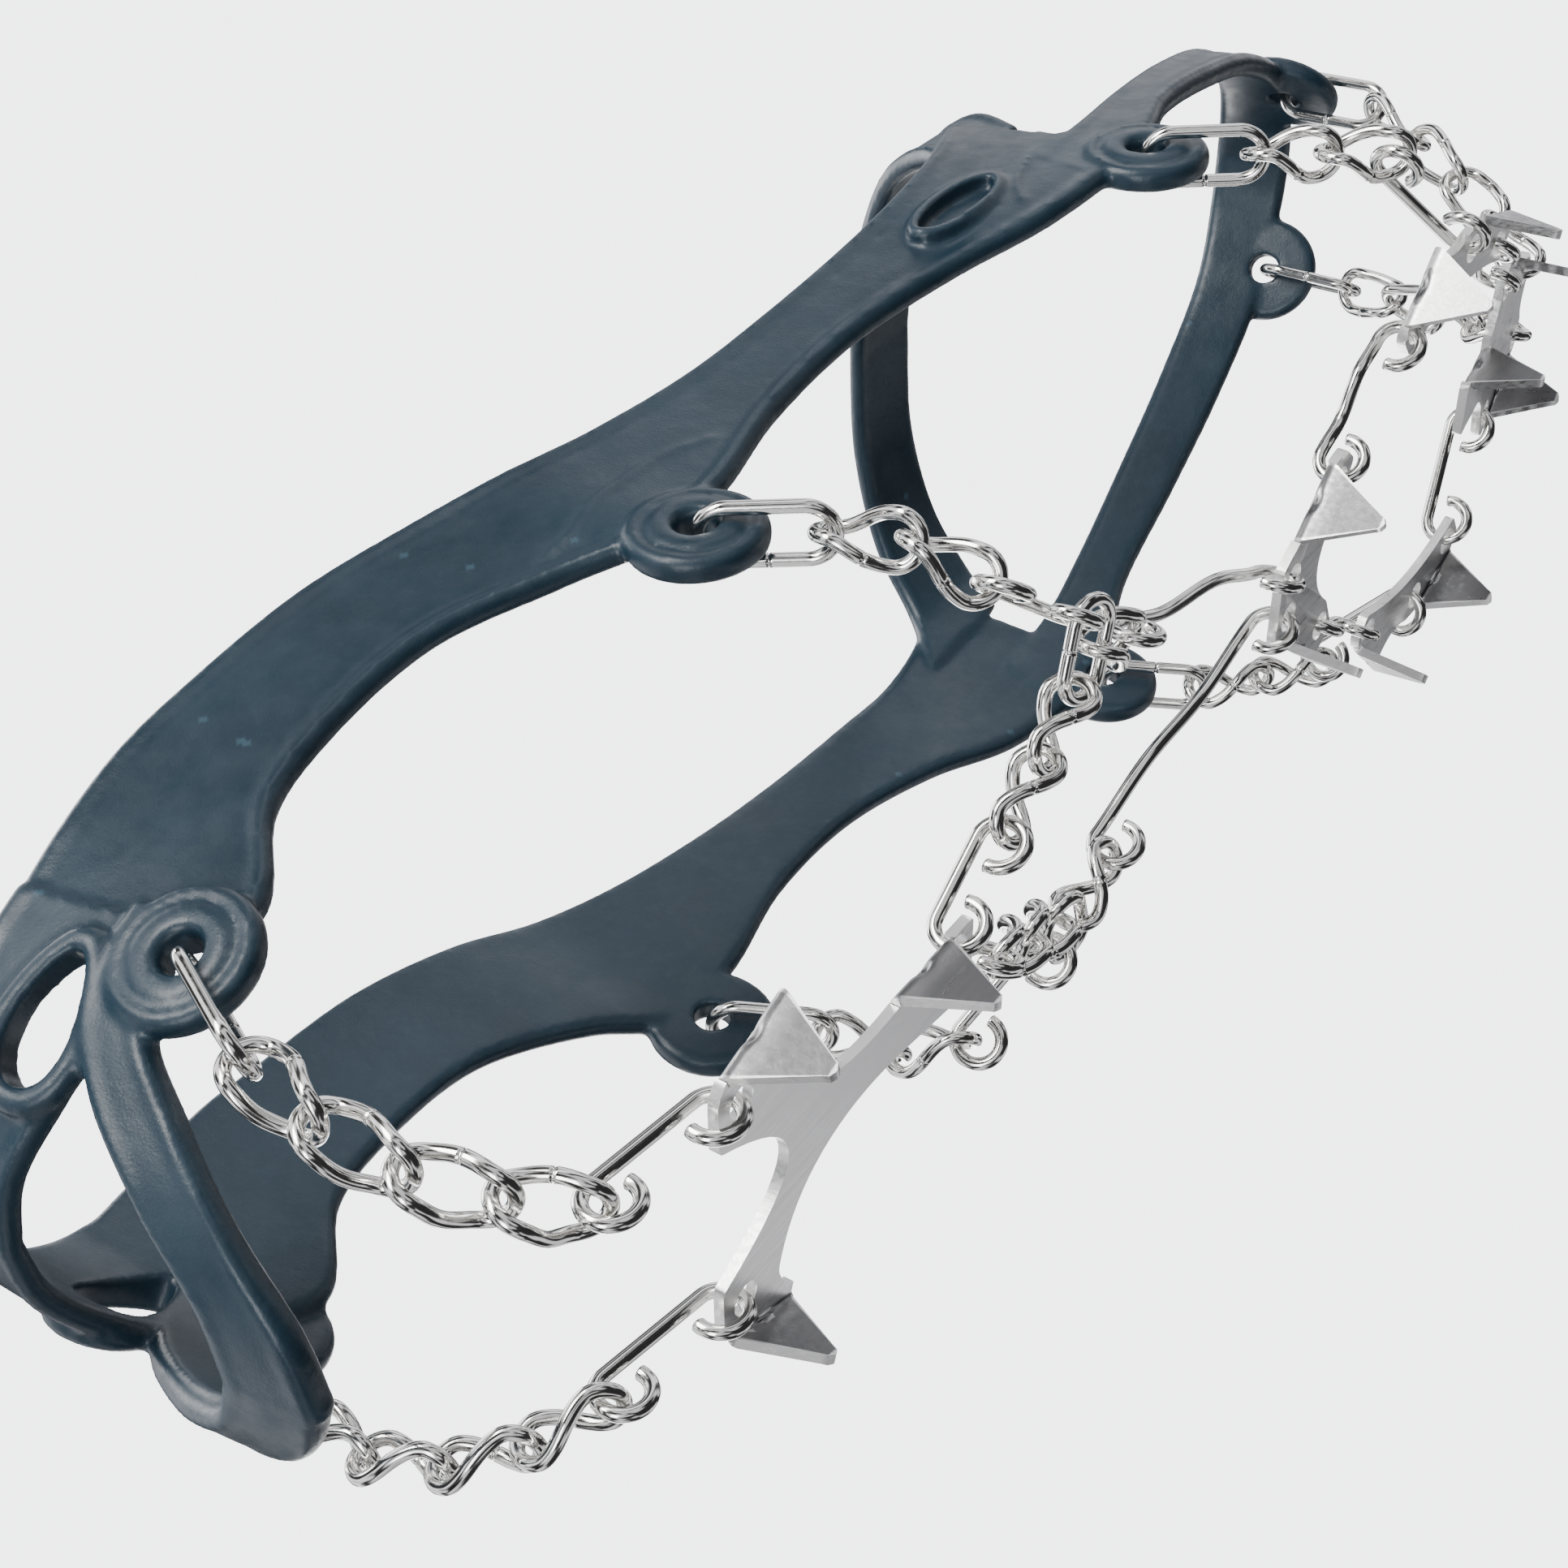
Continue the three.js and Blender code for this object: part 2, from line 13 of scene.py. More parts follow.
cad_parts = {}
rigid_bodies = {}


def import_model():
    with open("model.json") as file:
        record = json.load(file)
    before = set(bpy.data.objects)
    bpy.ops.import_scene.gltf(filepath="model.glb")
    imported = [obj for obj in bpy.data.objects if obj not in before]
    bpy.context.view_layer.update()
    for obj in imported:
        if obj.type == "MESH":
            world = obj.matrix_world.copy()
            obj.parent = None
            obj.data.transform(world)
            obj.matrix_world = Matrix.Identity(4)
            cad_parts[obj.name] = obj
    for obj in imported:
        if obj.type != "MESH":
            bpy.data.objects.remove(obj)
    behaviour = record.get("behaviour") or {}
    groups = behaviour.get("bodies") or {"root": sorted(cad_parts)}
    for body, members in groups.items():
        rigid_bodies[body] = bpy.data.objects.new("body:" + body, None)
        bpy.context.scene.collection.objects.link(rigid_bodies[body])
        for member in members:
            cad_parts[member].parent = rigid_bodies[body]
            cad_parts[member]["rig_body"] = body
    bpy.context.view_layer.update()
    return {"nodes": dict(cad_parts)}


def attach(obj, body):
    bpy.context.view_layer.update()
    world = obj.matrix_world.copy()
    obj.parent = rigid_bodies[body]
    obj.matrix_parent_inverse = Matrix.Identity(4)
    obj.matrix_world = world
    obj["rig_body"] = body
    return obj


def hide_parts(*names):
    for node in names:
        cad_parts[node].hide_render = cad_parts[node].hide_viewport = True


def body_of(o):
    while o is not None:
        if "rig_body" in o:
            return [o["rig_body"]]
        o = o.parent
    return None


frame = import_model()

MM = 0.001

# ---- driving dimensions, in mm ---------------------------------------------------------------
WIRE = 2.0                      # wire diameter
WIRE_GAP = 0.75                 # clearance where two wires hook together
HOOK = WIRE + WIRE_GAP
LINK_HALF = 7.0
LINK_RADIUS = 3.5
LINK_SKEW = math.radians(20)
LINK_TWIST_LEAST = math.radians(30)
LINK_TWIST_MOST = math.radians(130)
EYELET_LINK_HALF = 9.0
EYELET_LINK_RADIUS = 4.0
CURL_RADIUS = 3.4
CURL_SWEEP = math.radians(282)
WAVE_HEIGHT = 1.5
PLATE_THICKNESS = 1.5
PLATE_HOLE_RADIUS = 2.4
LOOP_HEIGHT = 0.6
TOE_TILT = math.radians(9)
TOE_HINGE_X = 112
SPIKE_WIDTH = 13.0
SPIKE_HEIGHT = 10.75
SPIKE_TIP_WIDTH = 1.1           # half width where the rounded tip begins
SPIKE_TIP_START = 9.9
PLATE_CORNER = 0.9              # rounding of a plate's outline
BEND_RADIUS = 1.3               # middle of the sheet, where a spike is bent down
BAND_THICKNESS = 3.2
LOBE_RADIUS = 9.3
LOBE_THICKNESS = 3.9
EYELET_RADIUS = 2.7
PITCH = 2 * LINK_HALF - HOOK
CURL_REACH = CURL_RADIUS - HOOK / 2

TWIST_OVERRUN = 1.6             # how far a link's twist runs on into its end arcs
SEAM_HALF_WIDTH = 0.14          # the butt weld that closes a link

# ---- fineness --------------------------------------------------------------------------------
WIRE_SIDES = 20
LINK_STEPS = 96
CURL_STEPS = 44
HOLE_SIDES = 40
LATHE_SIDES = 56
OVAL_STEPS = 64
RIDGE_STEPS = 60
RUBBER_VOXEL = 0.52             # mm

UP = np.array([0.0, 0.0, 1.0])
DOWN = -UP


def vec(*values):
    return np.array(values, float)


def unit(v):
    return v / np.linalg.norm(v)


# ---- meshes ----------------------------------------------------------------------------------
def make_object(name, vertices, faces, material=None):
    """A mesh object from points in millimetres."""
    mesh = bpy.data.meshes.new(name)
    mesh.from_pydata((np.asarray(vertices, float) * MM).tolist(), [], faces)
    mesh.validate()
    mesh.polygons.foreach_set("use_smooth", [True] * len(mesh.polygons))
    if material:
        mesh.materials.append(material)
    made = bpy.data.objects.new(name, mesh)
    bpy.context.scene.collection.objects.link(made)
    return made


def mirrored(vertices, faces):
    return np.asarray(vertices, float) * [1, -1, 1], [tuple(reversed(face)) for face in faces]


def joined(parts):
    """Several (vertices, faces) as one."""
    vertices, faces = [], []
    for points, polygons in parts:
        start = len(vertices)
        vertices.extend(np.asarray(points, float).tolist())
        faces.extend(tuple(i + start for i in polygon) for polygon in polygons)
    return np.array(vertices), faces


def mesh_data(made):
    """The object's points in millimetres and its faces, with its modifiers applied."""
    evaluated = made.evaluated_get(bpy.context.evaluated_depsgraph_get())
    mesh = evaluated.to_mesh()
    points = np.empty(len(mesh.vertices) * 3)
    mesh.vertices.foreach_get("co", points)
    faces = [tuple(polygon.vertices) for polygon in mesh.polygons]
    evaluated.to_mesh_clear()
    return points.reshape(-1, 3) / MM, faces


def modify(made, kind, **settings):
    modifier = made.modifiers.new(kind.lower(), kind)
    for key, value in settings.items():
        setattr(modifier, key, value)
    return modifier


def apply_modifiers(made):
    evaluated = made.evaluated_get(bpy.context.evaluated_depsgraph_get())
    mesh = bpy.data.meshes.new_from_object(evaluated)
    made.modifiers.clear()
    made.data = mesh


def combine(made, other_data, operation, solver="EXACT"):
    """Joins or cuts `made` with closed shapes given as (vertices, faces)."""
    other = make_object("tool", *other_data)
    modify(made, "BOOLEAN", operation=operation, object=other, solver=solver)
    apply_modifiers(made)
    bpy.data.objects.remove(other)


def stands_for(piece, node):
    """The piece is shown in place of a CAD node, on the same body."""
    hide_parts(node)
    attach(piece, body_of(frame["nodes"][node])[0])


# ---- materials -------------------------------------------------------------------------------
class Nodes:
    """Short names for building a node tree."""

    def __init__(self, name):
        self.material = bpy.data.materials.new(name)
        self.material.use_nodes = True
        self.tree = self.material.node_tree
        self.shader = self.tree.nodes["Principled BSDF"]
        self.place = self.add("ShaderNodeTexCoord").outputs["Object"]

    def add(self, kind, **settings):
        node = self.tree.nodes.new(kind)
        for key, value in settings.items():
            setattr(node, key, value)
        return node

    def link(self, output, socket):
        self.tree.links.new(output, socket)

    def stretched(self, scale):
        """The object's coordinates, scaled differently along X, Y and Z."""
        mapping = self.add("ShaderNodeMapping")
        mapping.inputs["Scale"].default_value = scale
        self.link(self.place, mapping.inputs["Vector"])
        return mapping.outputs["Vector"]

    def noise(self, scale, detail=4.0, roughness=0.55, vector=None):
        texture = self.add("ShaderNodeTexNoise")
        texture.inputs["Scale"].default_value = scale
        texture.inputs["Detail"].default_value = detail
        texture.inputs["Roughness"].default_value = roughness
        self.link(vector or self.place, texture.inputs["Vector"])
        return texture.outputs["Fac"]

    def ramp(self, value, *stops):
        """Stops are (position, colour or grey)."""
        node = self.add("ShaderNodeValToRGB")
        elements = node.color_ramp.elements
        while len(elements) < len(stops):
            elements.new(0.5)
        for element, (position, colour) in zip(elements, stops):
            element.position = position
            shade = (colour,) * 3 if isinstance(colour, (int, float)) else colour
            element.color = (*shade, 1)
        self.link(value, node.inputs["Fac"])
        return node.outputs["Color"]

    def spread(self, value, low, high, start=0.3, end=0.7):
        node = self.add("ShaderNodeMapRange")
        node.inputs["From Min"].default_value = start
        node.inputs["From Max"].default_value = end
        node.inputs["To Min"].default_value = low
        node.inputs["To Max"].default_value = high
        self.link(value, node.inputs["Value"])
        return node.outputs["Result"]

    def mix(self, share, first, second):
        node = self.add("ShaderNodeMix", data_type="RGBA")
        sockets = node.inputs[0], node.inputs[6], node.inputs[7]
        for value, socket in zip((share, first, second), sockets):
            if hasattr(value, "is_linked"):
                self.link(value, socket)
            elif isinstance(value, (int, float)):
                socket.default_value = value
            else:
                socket.default_value = (*value, 1)
        return node.outputs[2]

    def bump(self, height, distance, strength=1.0, below=None):
        node = self.add("ShaderNodeBump")
        node.inputs["Strength"].default_value = strength
        node.inputs["Distance"].default_value = distance
        self.link(height, node.inputs["Height"])
        if below:
            self.link(below, node.inputs["Normal"])
        return node.outputs["Normal"]

    def edges(self, start, end):
        """0 on flat faces, 1 on outer edges."""
        pointiness = self.add("ShaderNodeNewGeometry").outputs["Pointiness"]
        return self.spread(pointiness, 0.0, 1.0, start, end)


def rubber_material():
    """Satin moulded rubber, slate blue, with flow mottling, fine grain and rubbed edges."""
    n = Nodes("moulded_rubber")
    mottled = n.ramp(n.noise(55, 5), (0.3, (0.0085, 0.026, 0.043)), (0.7, (0.014, 0.038, 0.060)))
    dusty = n.mix(n.spread(n.noise(420, 6, 0.7), 0.0, 0.35, 0.52, 0.75), mottled, (0.030, 0.060, 0.084))
    rubbed = n.mix(n.edges(0.52, 0.62), dusty, (0.036, 0.078, 0.112))
    n.link(rubbed, n.shader.inputs["Base Color"])
    n.link(n.spread(n.noise(160, 6, 0.6), 0.30, 0.46), n.shader.inputs["Roughness"])
    soft = n.bump(n.noise(95, 3), 0.0007, 0.35)
    grain = n.bump(n.noise(2600, 3, 0.6), 0.00006, 0.6, soft)
    n.link(grain, n.shader.inputs["Normal"])
    n.shader.inputs["Specular IOR Level"].default_value = 0.55
    n.shader.inputs["IOR"].default_value = 1.5
    return n.material


def chrome_material():
    """Plated wire: nearly a mirror, with fine scratches, haze and a few tarnished spots."""
    n = Nodes("plated_wire")
    tarnish = n.spread(n.noise(260, 6, 0.7), 0.0, 0.6, 0.60, 0.78)
    n.link(n.mix(tarnish, (0.86, 0.85, 0.82), (0.50, 0.46, 0.40)), n.shader.inputs["Base Color"])
    n.shader.inputs["Metallic"].default_value = 1.0
    n.link(n.spread(n.noise(900, 5, 0.7), 0.09, 0.19), n.shader.inputs["Roughness"])
    scratches = n.noise(1.0, 4, 0.7, n.stretched((700, 5200, 3600)))
    n.link(n.bump(scratches, 0.00002, 0.08), n.shader.inputs["Normal"])
    return n.material


def plate_material():
    """Rolled sheet steel, brushed along the boot, with a painted highlight along the edges and painted
    shade on the spikes.
    """
    n = Nodes("brushed_plate")
    brushing = n.noise(1.0, 4, 0.6, n.stretched((90, 2400, 900)))
    clouds = n.noise(120, 5, 0.6)
    base = n.ramp(clouds, (0.3, (0.30, 0.30, 0.305)), (0.7, (0.42, 0.417, 0.414)))
    streaked = n.mix(n.spread(brushing, 0.0, 0.5), base, (0.21, 0.21, 0.22))
    height = n.add("ShaderNodeSeparateXYZ")
    n.link(n.place, height.inputs["Vector"])
    # painted shade: the bent-down spikes, below the sheet, are coloured darker than the flat plate
    spike_shade_share = n.spread(height.outputs["Z"], 0.75, 0.0, -0.004, -0.001)
    spike_shaded = n.mix(spike_shade_share, streaked, (0.13, 0.13, 0.135))
    # painted highlight: the sheet's edges are coloured near white, as if catching the light
    bright = n.mix(n.edges(0.53, 0.60), spike_shaded, (0.86, 0.86, 0.85))
    n.link(bright, n.shader.inputs["Base Color"])
    n.shader.inputs["Metallic"].default_value = 1.0
    n.link(n.spread(brushing, 0.24, 0.42), n.shader.inputs["Roughness"])
    dents = n.bump(clouds, 0.0004, 0.08)
    n.link(n.bump(brushing, 0.00004, 0.6, dents), n.shader.inputs["Normal"])
    return n.material


RUBBER = rubber_material()
CHROME = chrome_material()
STEEL = plate_material()


# ---- wire pieces -----------------------------------------------------------------------------
def tube(points, radii, closed, sides=WIRE_SIDES):
    """A round section swept along the points without twisting, as (vertices, faces)."""
    points = np.asarray(points, float)
    count = len(points)
    if closed:
        tangents = np.roll(points, -1, axis=0) - np.roll(points, 1, axis=0)
    else:
        tangents = np.gradient(points, axis=0)
    tangents /= np.linalg.norm(tangents, axis=1)[:, None]
    seed = UP if abs(tangents[0][2]) < 0.8 else vec(1, 0, 0)
    normals = []
    normal = np.cross(tangents[0], seed)
    for tangent in tangents:
        normal = unit(normal - tangent * normal.dot(tangent))
        normals.append(normal)
    normals = np.array(normals)
    binormals = np.cross(tangents, normals)
    lag = 0.0
    if closed:
        carried = unit(normals[-1] - tangents[0] * normals[-1].dot(tangents[0]))
        lag = math.atan2(carried.dot(binormals[0]), carried.dot(normals[0]))
    turns = np.linspace(0, 2 * math.pi, sides, endpoint=False)
    angles = turns[None, :] - (lag * np.arange(count) / count)[:, None]
    radii = np.broadcast_to(radii, (count,))[:, None, None]
    across = np.cos(angles)[..., None] * normals[:, None]
    across = across + np.sin(angles)[..., None] * binormals[:, None]
    vertices = (points[:, None] + radii * across).reshape(-1, 3)
    faces = []
    for i in range(count if closed else count - 1):
        j = (i + 1) % count
        for k in range(sides):
            m = (k + 1) % sides
            faces.append((i * sides + k, i * sides + m, j * sides + m, j * sides + k))
    if not closed:
        faces.append(tuple(reversed(range(sides))))
        faces.append(tuple(range((count - 1) * sides, count * sides)))
    return vertices, faces


def frame_of(along, normal):
    """Columns X, Y, Z: X runs along `along`, Z is as near to `normal` as that allows."""
    x = unit(along)
    z = unit(normal - x * normal.dot(x))
    return np.column_stack([x, np.cross(z, x), z])


def add_pair(name, data, material):
    """The near piece and its mirror image on the far side."""
    for side, (vertices, faces) in (("near", data), ("far", mirrored(*data))):
        node = f"{name}_{side}"
        stands_for(make_object(f"{node}_wire", vertices, faces, material), node)


def add_ring(name, start, end, normal, radius, twists):
    """A closed link between two joints: a racetrack twisted about its length, with a weld seam."""
    span = end - start
    half = (np.linalg.norm(span) + HOOK) / 2
    straight = half - radius
    bend = math.pi * radius
    total = 4 * straight + 2 * bend
    basis = frame_of(span, normal)
    spread = straight + TWIST_OVERRUN
    places = list(np.linspace(0, total, LINK_STEPS, endpoint=False))
    places[1:1] = [SEAM_HALF_WIDTH]
    places.append(total - SEAM_HALF_WIDTH)
    points = []
    for place in places:
        s = (place + straight) % total
        if s < 2 * straight:
            x, y = s - straight, -radius
        elif s < 2 * straight + bend:
            a = (s - 2 * straight) / radius
            x, y = straight + radius * math.sin(a), -radius * math.cos(a)
        elif s < 4 * straight + bend:
            x, y = 3 * straight + bend - s, radius
        else:
            a = (s - 4 * straight - bend) / radius
            x, y = -straight - radius * math.sin(a), radius * math.cos(a)
        share = min(max((x + spread) / (2 * spread), 0.0), 1.0)
        share = share * share * (3 - 2 * share)
        twist = twists[0] + (twists[1] - twists[0]) * share
        points.append((start + end) / 2 + basis @ vec(x, y * math.cos(twist), y * math.sin(twist)))
    radii = np.full(len(points), WIRE / 2)
    radii[0] *= 0.78
    add_pair(name, tube(points, radii, closed=True), CHROME)


def add_links(name, joints, normals, start_twist=-LINK_SKEW, end_twist=LINK_SKEW):
    """Chain links from joint to joint, each turned by its share of the quarter turns."""
    count = len(joints) - 1
    carried = [normals[0]]
    for i in range(count):
        along = unit(joints[i + 1] - joints[i])
        carried.append(unit(carried[i] - along * carried[i].dot(along)))
    end = normals[1] - along * normals[1].dot(along)
    lean = math.acos(max(-1.0, min(1.0, carried[count].dot(unit(end)))))
    drift = math.copysign(lean, np.cross(carried[count], end).dot(along))
    total = (count - 1) * math.pi / 2 + end_twist - start_twist + drift
    while total / count > LINK_TWIST_MOST:
        total -= math.pi
    while total / count < LINK_TWIST_LEAST:
        total += math.pi
    turn = total / count
    for i in range(count):
        start = start_twist + i * (turn - math.pi / 2)
        add_ring(f"{name}_{i + 1}", joints[i], joints[i + 1], carried[i + 1], LINK_RADIUS,
                 (start, start + turn))


def slack_run(start, end, count, slack):
    """Joints of a slack run of `count` links between two points, bowed towards `slack`."""
    u = np.linspace(0, 1, 201)[:, None]
    for bow in np.arange(0, 60, 0.25):
        middle = (start + end) / 2 + slack * bow
        curve = (1 - u) ** 2 * start + 2 * u * (1 - u) * middle + u ** 2 * end
        lengths = np.concatenate([[0], np.cumsum(np.linalg.norm(np.diff(curve, axis=0), axis=1))])
        if lengths[-1] >= count * PITCH * 1.004:
            break
    places = np.linspace(0, lengths[-1], count + 1)
    return [vec(*(np.interp(place, lengths, curve[:, k]) for k in range(3))) for place in places]


def add_connector(name, first, second, side, wave=0.0):
    """An open wire with a curl at each end and flat cut ends."""
    span = second - first
    length = np.linalg.norm(span)
    basis = frame_of(span, side)
    curl = [CURL_SWEEP * i / CURL_STEPS for i in range(CURL_STEPS + 1)]
    points = [vec(-CURL_RADIUS * math.sin(a), 0, CURL_RADIUS * math.cos(a)) for a in reversed(curl)]
    shank_steps = 40
    for i in range(1, shank_steps):
        u = i / shank_steps
        sway = wave * math.sin(2 * math.pi * u) * math.sin(math.pi * u)
        points.append(vec(length * u, sway, CURL_RADIUS))
    points += [vec(length + CURL_RADIUS * math.sin(a), 0, CURL_RADIUS * math.cos(a)) for a in curl]
    chamfer = 0.16
    points.insert(1, points[0] + unit(points[1] - points[0]) * chamfer)
    points.insert(-1, points[-1] + unit(points[-2] - points[-1]) * chamfer)
    radii = np.full(len(points), WIRE / 2)
    radii[[0, -1]] = WIRE / 2 - chamfer
    placed = [first + basis @ point for point in points]
    add_pair(name, tube(placed, radii, closed=False), CHROME)


# ---- plates ----------------------------------------------------------------------------------
def outline_points(outline, corner=PLATE_CORNER):
    """The outline of a sheet, with hollow curves drawn out and corners rounded."""
    points = []
    for i, entry in enumerate(outline):
        here = vec(*entry[:2])
        if len(entry) == 4:
            before, pull = vec(*outline[i - 1][:2]), vec(*entry[2:])
            for u in np.linspace(0, 1, 18)[1:-1]:
                points.append((1 - u) ** 2 * before + 2 * u * (1 - u) * pull + u * u * here)
        points.append(here)
    rounded = []
    for i, here in enumerate(points):
        back, ahead = points[i - 1] - here, points[(i + 1) % len(points)] - here
        turn = math.pi - math.acos(max(-1.0, min(1.0, unit(back).dot(unit(ahead)))))
        if turn < math.radians(22):
            rounded.append(here)
            continue
        first = here + unit(back) * min(corner, 0.45 * np.linalg.norm(back))
        last = here + unit(ahead) * min(corner, 0.45 * np.linalg.norm(ahead))
        for u in np.linspace(0, 1, 5):
            rounded.append((1 - u) ** 2 * first + 2 * u * (1 - u) * here + u * u * last)
    return rounded


def prism(points, low, high):
    """A closed prism over a flat outline that runs either way round."""
    area = sum(a[0] * b[1] - b[0] * a[1] for a, b in zip(points, points[1:] + points[:1]))
    ring = points if area > 0 else points[::-1]
    count = len(ring)
    vertices = [(*p, low) for p in ring] + [(*p, high) for p in ring]
    faces = [tuple(reversed(range(count))), tuple(range(count, 2 * count))]
    for i in range(count):
        j = (i + 1) % count
        faces.append((i, j, j + count, i + count))
    return vertices, faces


def circle(x, y, radius, sides=HOLE_SIDES):
    turns = np.linspace(0, 2 * math.pi, sides, endpoint=False)
    return [vec(x + radius * math.cos(a), y + radius * math.sin(a)) for a in turns]


def turned(data, x, y, angle):
    """Turned about Z and moved to (x, y)."""
    c, s = math.cos(angle), math.sin(angle)
    vertices = np.asarray(data[0], float) @ np.array([[c, -s, 0], [s, c, 0], [0, 0, 1]]).T
    return vertices + [x, y, 0], data[1]


def spike_half_width(depth):
    if depth < SPIKE_TIP_START:
        return SPIKE_WIDTH / 2 + (SPIKE_TIP_WIDTH - SPIKE_WIDTH / 2) * max(depth, 0) / SPIKE_TIP_START
    share = (depth - SPIKE_TIP_START) / (SPIKE_HEIGHT - SPIKE_TIP_START)
    return SPIKE_TIP_WIDTH * math.sqrt(max(1 - share * share, 0.02))


def bent_spike(inward):
    """A triangle of the sheet bent down, with a stiffening dimple pressed into the bend.

    `inward` is +1 or -1: the side along Y on which the plate lies."""
    half = PLATE_THICKNESS / 2 - 0.01
    root = 1.4
    path = [(inward * (BEND_RADIUS + root), 0.0, 0.0, 1.0)]
    for a in np.linspace(0, math.pi / 2, 13):
        path.append((inward * BEND_RADIUS * (1 - math.sin(a)), BEND_RADIUS * (math.cos(a) - 1),
                     -inward * math.sin(a), math.cos(a)))
    bottom = -PLATE_THICKNESS / 2 - SPIKE_HEIGHT
    for z in np.linspace(-BEND_RADIUS, bottom, 26)[1:]:
        path.append((0.0, z, -float(inward), 0.0))
    across = np.linspace(-1, 1, 41)
    sheets = [[], []]
    for y, z, out_y, out_z in path:
        width = spike_half_width(-z - PLATE_THICKNESS / 2)
        bend = math.exp(-((out_z - 0.6) / 0.36) ** 2) if 0 < out_z < 1 else 0.0
        for share in across:
            x = width * share
            dimple = 0.75 * bend * math.exp(-(x / 1.3) ** 2)
            for sheet, offset in zip(sheets, (half - dimple, -half - dimple)):
                sheet.append((x, y + out_y * offset, z + out_z * offset))
    rows, columns = len(path), len(across)
    size = rows * columns
    faces = []
    for i in range(rows - 1):
        for k in range(columns - 1):
            a, b = i * columns + k, i * columns + k + 1
            c, d = b + columns, a + columns
            faces += [(a, b, c, d), (d + size, c + size, b + size, a + size)]
        left, right = i * columns, i * columns + columns - 1
        faces += [(left, left + columns, left + columns + size, left + size),
                  (right + size, right + columns + size, right + columns, right)]
    for k in range(columns - 1):
        low = (rows - 1) * columns + k
        faces += [(k + 1, k, k + size, k + 1 + size), (low, low + 1, low + 1 + size, low + size)]
    if inward < 0:
        faces = [tuple(reversed(face)) for face in faces]
    return sheets[0] + sheets[1], faces


def plate_data(plate):
    """The sheet with its holes and bent spikes, edges broken, as (vertices, faces)."""
    half = PLATE_THICKNESS / 2
    sheet = make_object("sheet", *prism(outline_points(plate["outline"]), -half, half))
    cutters = [prism(circle(x, y, PLATE_HOLE_RADIUS), -3, 3) for x, y in plate["holes"]]
    spikes = []
    relief = SPIKE_WIDTH / 2 + 0.1
    for x, y, angle in plate["spikes"]:
        inward = -1 if y > 0 else 1
        corner = [vec(-relief, -inward * 3), vec(relief, -inward * 3),
                  vec(relief, inward * BEND_RADIUS), vec(-relief, inward * BEND_RADIUS)]
        cutters.append(turned(prism(corner, -3, 3), x, y, math.radians(angle)))
        spikes.append(turned(bent_spike(inward), x, y, math.radians(angle)))
    for cutter in cutters:
        combine(sheet, cutter, "DIFFERENCE")
    combine(sheet, joined(spikes), "UNION")
    modify(sheet, "BEVEL", width=0.16 * MM, segments=2, limit_method="ANGLE",
           angle_limit=math.radians(38))
    data = mesh_data(sheet)
    bpy.data.objects.remove(sheet)
    return data


def add_plate(node, data):
    made = make_object(f"{node}_sheet", *data, STEEL)
    made.data.set_sharp_from_angle(angle=math.radians(32))
    stands_for(made, node)


def flip(entry):
    return [-value if i % 2 else value for i, value in enumerate(entry)]


HEEL_HOLE = [-102.6, -17]
HEEL_FRONT_HOLE = [-54.5, -3.1]
BALL_REAR_HOLE = [43.5, -3.6]
BALL_FRONT_HOLE = [57, -13.5]
SIDE_REAR_HOLE = [79.7, -28.6]
SIDE_OUTER_HOLE = [100, -33.3]
SIDE_FRONT_HOLE = [112, -28.8]
TOE_SIDE_HOLE = [128.5, -12.3]
TOE_FRONT_HOLE = [146, -6.5]

# Outline entries are a corner [x, y], or [x, y, cx, cy] for a hollow curve pulled to (cx, cy).
HEEL_PLATE = {
    "outline": [
        [-50.4, -6], [-50.4, 6], [-56, 6], [-68, 4.3], [-95.5, 19, -91, 1.5], [-92.7, 26.7],
        [-105.6, 22.5], [-107.2, 20], [-107.2, 12], [-107.2, -12, -79, 0], [-107.2, -20],
        [-105.6, -22.5], [-92.7, -26.7], [-95.5, -19], [-68, -4.3, -91, -1.5], [-56, -6],
    ],
    "spikes": [[-99.2, -24.6, -18], [-99.2, 24.6, 18], [-61.8, -5.2, 0]],
    "holes": [HEEL_HOLE, flip(HEEL_HOLE), HEEL_FRONT_HOLE, flip(HEEL_FRONT_HOLE)],
}
BALL_PLATE = {
    "outline": [
        [39.5, -6.8], [39.5, 6.8], [44.4, 9.5], [54.4, 17.9], [58, 18.6], [61.4, 15.4], [58.5, 9.5],
        [58.5, -9.5, 47, 0], [61.4, -15.4], [58, -18.6], [54.4, -17.9], [44.4, -9.5],
    ],
    "spikes": [[49.4, -13.7, -40], [49.4, 13.7, 40]],
    "holes": [BALL_REAR_HOLE, flip(BALL_REAR_HOLE), BALL_FRONT_HOLE, flip(BALL_FRONT_HOLE)],
}
SIDE_PLATE = {
    "outline": [
        [76.6, -30.5], [75.8, -28], [78.5, -24.6], [113.8, -24.9, 97, -31], [116.5, -29],
        [114.6, -32.8], [102.4, -37.2], [97, -37], [85.8, -39.7, 91, -34],
    ],
    "spikes": [[81.2, -35.1, -45], [108.5, -35, 20]],
    "holes": [SIDE_REAR_HOLE, SIDE_OUTER_HOLE, SIDE_FRONT_HOLE],
}
TOE_PLATE = {
    "outline": [
        [107, -4.8], [107, 4.8], [119, 5], [125, 12, 123, 6.5], [126.3, 15.8], [129, 17],
        [132.3, 15.4], [143.7, 9.1], [146.6, 10], [149.1, 8], [148.8, 4], [148.8, -4, 145.5, 0],
        [149.1, -8], [146.6, -10], [143.7, -9.1], [132.3, -15.4], [129, -17], [126.3, -15.8],
        [125, -12], [119, -5, 123, -6.5],
    ],
    "spikes": [[138, -12.2, 29], [138, 12.2, -29], [115, -4.1, 0]],
    "holes": [TOE_SIDE_HOLE, flip(TOE_SIDE_HOLE), TOE_FRONT_HOLE, flip(TOE_FRONT_HOLE)],
}


